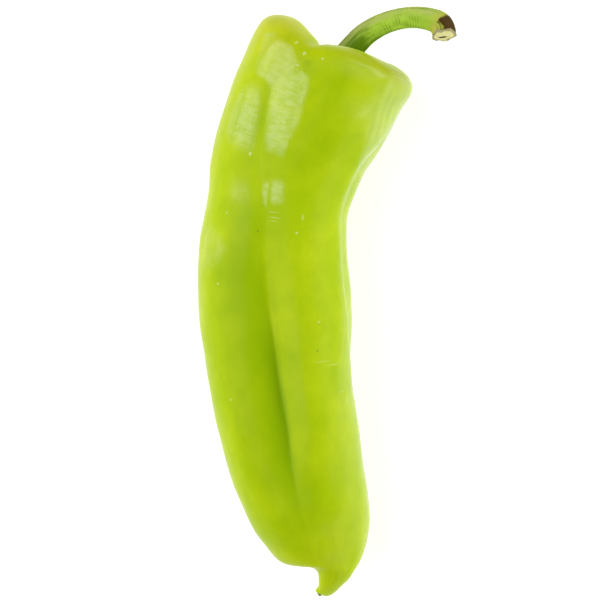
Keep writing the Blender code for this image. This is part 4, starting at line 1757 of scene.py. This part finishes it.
    def build(self, effects: Effects) -> bpy.types.Object:
        """Builds the stalk, dressed and carried by the frame.

        Args:
            effects: The shared effects.

        Returns:
            The finished piece.
        """
        centre, _, radius = self.line(np.linspace(0, self.tube_end, self.guide_points))
        curve = bpy.data.curves.new("stem_line", "CURVE")
        curve.dimensions = "3D"
        strand = curve.splines.new("POLY")
        strand.points.add(len(centre) - 1)
        for point, place, size in zip(strand.points, centre, radius):
            point.co = (*place, 1.0)
            point.radius = size
        guide = bpy.data.objects.new("stem_line", curve)
        bpy.context.scene.collection.objects.link(guide)
        length = float(np.sum(np.linalg.norm(np.diff(centre, axis=0), axis=1)))
        values = {
            "Rings": self.rings, "Sides": self.sides, "Ribs": self.ribs,
            "Rib Height": self.rib_height * float(radius.mean()),
            "Twist": math.radians(self.twist),
            "Wrinkles": 2 * math.pi * length / self.wrinkle_length,
            "Wrinkle Height": self.wrinkle_height, "Wrinkle Patches": self.wrinkle_patches,
            "Grain": self.grain_scale, "Grain Height": self.grain_height,
            "Finish": self.finish.make(effects),
        }
        piece = plain_mesh(guide, self.sweep_tree(), values, "pepper_stem")
        self.mark(piece)
        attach(piece, "root")
        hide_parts("stem")
        return piece

    def mark(self, piece: bpy.types.Object) -> None:
        """Gives the stalk the values that its finish reads.

        Args:
            piece: The stalk.
        """
        places = np.zeros(len(piece.data.vertices) * 3)
        piece.data.vertices.foreach_get("co", places)
        places = places.reshape(-1, 3)
        shares = np.linspace(0, 1, 400)
        centre, forward, _ = self.line(shares)
        nearest = np.argmin(np.linalg.norm(places[:, None] - centre[None], axis=2), axis=1)
        at = shares[nearest]
        side, front = axes_across(forward)
        away = places - centre[nearest]
        across = np.sum(away * side[nearest], axis=1)
        up = np.sum(away * front[nearest], axis=1)
        turn = np.degrees(np.arctan2(up, across))

        def strip(s: Strip, moved: np.ndarray | float = 0.0) -> np.ndarray:
            """How strongly a strip shows at each point."""
            present = smooth_step(s.start, s.full, at) * (1 - smooth_step(s.fade, s.end, at))
            return present * bell(turn - s.angle + moved, s.reach)

        ridge = strip(self.lit_ridge, self.ridge_turn * smooth_step(*self.ridge_bend, at))
        # painted shade in the wrinkles' troughs
        wave = np.maximum(0, -np.sin(2 * np.pi * at * self.length / self.wrinkle_length))
        broken = smooth_step(*self.broken_edge, soft_noise(places, self.broken))
        values = {
            "straight": np.stack([across, up, at * self.length], axis=1),
            "edge": strip(self.brown_edge),
            "back": strip(self.olive_back),
            "far": smooth_step(*self.straw_start, at) * self.straw_tint,
            # painted light
            "painted_lit_side": strip(self.lit_side) + self.ridge_tint * ridge,
            "wrinkle": wave * strip(self.wrinkle_shade_side) * broken,
            "bruise": strip(self.bruise),
        }
        for name, value in values.items():
            carry(piece, name, value)


@dataclass
class StemCut:
    """The dry cut of the stem: a ragged rim round sunken pith with a dark slit."""

    stem: Stem
    finish: CutFinish = CutFinish()
    rings: int = 16
    reach: float = 1.03
    recess: float = 0.00015
    pith_edge: tuple[float, float] = (0.70, 0.92)
    rise: float = 0.00005
    grain: Unevenness = Unevenness(0.00010, 0.0016, 18, 3)
    middle_grain: float = 0.4
    slit_centre: tuple[float, float] = (0.0004, -0.0013)
    slit_reach: tuple[float, float] = (0.0011, 0.0004)
    slit_depth: float = 0.00022
    sleeve: float = 0.0013
    sleeve_share: float = 0.96
    end_share: float = 0.90

    def build(self, effects: Effects) -> bpy.types.Object:
        """Builds the cut, dressed and carried by the frame.

        Args:
            effects: The shared effects.

        Returns:
            The finished piece.
        """
        stem, sides = self.stem, self.stem.sides
        centre, forward, radius = (row[0] for row in stem.line(np.array([1.0])))
        side, front = axes_across(forward)
        turn = np.arange(sides) * 2 * np.pi / sides
        ribs = 1 + stem.rib_height * np.cos(stem.ribs * (turn + math.radians(stem.twist)))
        share = np.linspace(0, self.reach, self.rings)[1:, None]
        flat = share * radius * ribs
        x, y = flat * np.cos(turn), flat * np.sin(turn)
        level = self.rise - self.recess * (1 - smooth_step(*self.pith_edge, share)) + 0 * turn
        rough = soft_noise(np.stack([x, y, 0 * x], axis=-1), self.grain)
        level = level + rough * (self.middle_grain + share)
        along = (x - self.slit_centre[0]) / self.slit_reach[0]
        beside = (y - self.slit_centre[1]) / self.slit_reach[1]
        slit = np.exp(-0.5 * (along**2 + beside**2))
        level = level - self.slit_depth * slit
        top = centre + x[..., None] * side + y[..., None] * front + level[..., None] * forward
        half_sleeve = 0.5 * self.sleeve * forward
        base = centre + (top[-1] - centre) * self.sleeve_share - half_sleeve
        inner = centre + (base - centre) * self.end_share - half_sleeve
        ends = [(centre + level[0].mean() * forward)[None], (centre - 2 * half_sleeve)[None]]
        points = np.concatenate([ends[0], top.reshape(-1, 3), base, inner, ends[1]])
        rings = self.rings + 1
        faces = ring_faces(rings, sides, 1)
        faces += cap_faces(1, sides, 0) + cap_faces(1 + (rings - 1) * sides, sides, len(points) - 1)
        piece = mesh_object("stem_cut", points, faces, self.finish.make(effects))
        out = np.broadcast_to(share, x.shape).ravel()
        carry(piece, "out", np.concatenate([[0], out, np.ones(2 * sides), [1]]))
        carry(piece, "slit", np.concatenate([[0], slit.ravel(), np.zeros(2 * sides + 1)]))
        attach(piece, "root")
        return piece


@dataclass
class StyleScar:
    """The small dried foot of the style: a low ragged button pressed into the tip."""

    fruit: Fruit
    finish: ScarFinish = ScarFinish()
    offset: tuple[float, float, float] = (-0.0001, -0.0006, 0.0002)
    direction: tuple[float, float, float] = (-0.62, -0.42, 0.66)
    radius: float = 0.00100
    height: float = 0.00055
    pit_depth: float = 0.00022
    pit_reach: float = 0.0003
    lumps: tuple[tuple[float, int, float], ...] = ((0.12, 3, 0.7), (0.06, 7, 0.0))
    rings: int = 12
    sides: int = 40

    def build(self, effects: Effects) -> bpy.types.Object:
        """Builds the scar, dressed and carried by the frame.

        Args:
            effects: The shared effects.

        Returns:
            The finished piece.
        """
        centre = np.array(self.fruit.knob_centre) + np.array(self.offset)
        direction = np.array(self.direction) / np.linalg.norm(self.direction)
        side, front = axes_across(direction)
        turn = np.arange(self.sides) * 2 * np.pi / self.sides
        bow = np.linspace(0, np.pi, self.rings + 2)[1:-1, None]
        ragged = 1 + sum(size * np.cos(count * turn + phase) for size, count, phase in self.lumps)
        flat = self.radius * np.sin(bow) * ragged
        x, y = flat * np.cos(turn), flat * np.sin(turn)
        pit = self.pit_depth * np.exp(-0.5 * (flat / self.pit_reach) ** 2) * (np.cos(bow) > 0)
        level = self.height * np.cos(bow) - pit
        points = centre + x[..., None] * side + y[..., None] * front + level[..., None] * direction
        top, foot = self.height - self.pit_depth, -self.height
        ends = np.array([centre + top * direction, centre + foot * direction])
        count = self.rings * self.sides
        faces = ring_faces(self.rings, self.sides) + cap_faces(0, self.sides, count)
        faces += cap_faces(count - self.sides, self.sides, count + 1)
        points = np.concatenate([points.reshape(-1, 3), ends])
        piece = mesh_object("style_scar", points, faces, self.finish.make(effects))
        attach(piece, "root")
        return piece


@dataclass(frozen=True)
class Softbox:
    """An oblong area light, aimed at the pepper.

    Its tilt is the angle from straight above, and its bearing the angle round, 0 to the right and
    90 towards the stem.
    """

    name: str
    tilt: float
    bearing: float
    width: float
    height: float
    power: float
    distance: float = 0.70
    aim_level: float = 0.02

    def build(self) -> bpy.types.Object:
        """Sets the light up.

        Returns:
            The lamp.
        """
        light = bpy.data.lights.new(self.name, "AREA")
        light.shape = "RECTANGLE"
        light.size, light.size_y = self.width, self.height
        light.energy = self.power
        tilt, bearing = math.radians(self.tilt), math.radians(self.bearing)
        flat = math.sin(tilt)
        away = Vector((flat * math.cos(bearing), flat * math.sin(bearing), math.cos(tilt)))
        lamp = bpy.data.objects.new(self.name, light)
        lamp.location = Vector((0.0, 0.0, self.aim_level)) + self.distance * away
        lamp.rotation_euler = (-away).to_track_quat("-Z", "Y").to_euler()
        bpy.context.scene.collection.objects.link(lamp)
        return lamp


@dataclass
class Studio:
    """A white table, soft light and the camera above."""

    camera_height: float = 1.5
    look_x: float = -0.0077
    look_y: float = 0.00078
    view_half: float = 0.087
    view_level: float = 0.020
    sensor: float = 36.0
    floor_size: float = 3.0
    floor_white: Colour = (0.50, 0.50, 0.51, 1.0)
    floor_paler: Colour = (0.52, 0.52, 0.53, 1.0)
    floor_glow: float = 0.70
    light_white: Colour = (1.0, 1.0, 1.0, 1.0)
    sky: float = 0.010
    lights: tuple[Softbox, ...] = (
        Softbox("key_softbox", 48.0, 172.0, 0.85, 1.05, 6.95),
        Softbox("right_softbox", 70.0, 13.0, 1.00, 0.40, 3.45),
        Softbox("stem_softbox", 57.0, 64.0, 0.40, 0.40, 0.95),
        Softbox("tip_softbox", 71.0, 309.0, 0.80, 0.40, 2.20),
    )

    def build_camera(self) -> bpy.types.Object:
        """Sets the camera straight above the pepper, as the photograph was taken.

        Returns:
            The camera's object.
        """
        camera = bpy.data.cameras.new("camera")
        camera.sensor_width = self.sensor
        reach = (self.camera_height - self.view_level) / self.view_half
        camera.lens = self.sensor / 2 * reach
        camera.clip_end = 20.0
        holder = bpy.data.objects.new("camera", camera)
        holder.location = (self.look_x, self.look_y, self.camera_height)
        bpy.context.scene.collection.objects.link(holder)
        bpy.context.scene.camera = holder
        return holder

    def build_floor(self) -> bpy.types.Object:
        """Lays a white table under the pepper.

        Returns:
            The table.
        """
        half = self.floor_size / 2
        corners = [(-half, -half, 0.0), (half, -half, 0.0), (half, half, 0.0), (-half, half, 0.0)]
        material, desk, shader = new_material("white_table")
        grain = desk.noise(desk.place(), 9.0, detail=1.0)
        desk.feed(shader.inputs["Base Color"], desk.blend(grain, self.floor_white, self.floor_paler))
        shader.inputs["Roughness"].default_value = 0.9
        shader.inputs["Specular IOR Level"].default_value = 0.1
        shader.inputs["Emission Color"].default_value = self.light_white
        shader.inputs["Emission Strength"].default_value = self.floor_glow
        mesh = bpy.data.meshes.new("table")
        mesh.from_pydata(corners, [], [(0, 1, 2, 3)])
        mesh.materials.append(material)
        floor = bpy.data.objects.new("table", mesh)
        bpy.context.scene.collection.objects.link(floor)
        return floor

    def build_sky(self) -> None:
        """Fills the room with even white light."""
        world = bpy.data.worlds.new("studio")
        world.use_nodes = True
        back = world.node_tree.nodes["Background"]
        back.inputs["Color"].default_value = self.light_white
        back.inputs["Strength"].default_value = self.sky
        bpy.context.scene.world = world

    def build(self) -> None:
        """Sets up the table, the lights and the camera."""
        self.build_camera()
        self.build_floor()
        self.build_sky()
        for light in self.lights:
            light.build()
        bpy.context.scene.view_settings.view_transform = "Standard"


def report(piece: bpy.types.Object) -> None:
    """Tells how large a finished piece is."""
    triangles = sum(len(face.vertices) - 2 for face in piece.data.polygons)
    LOG.info("%s: %d triangles", piece.name, triangles)


def main() -> None:
    """Builds the pepper and its studio."""
    logging.basicConfig(level=logging.INFO, format="%(name)s: %(message)s")
    Studio().build()
    effects = Effects()
    fruit = Fruit()
    calyx = Calyx(fruit)
    stem = Stem(fruit, calyx)
    for part in (fruit, calyx, stem, StemCut(stem), StyleScar(fruit)):
        report(part.build(effects))


if __name__ == "__main__":
    main()
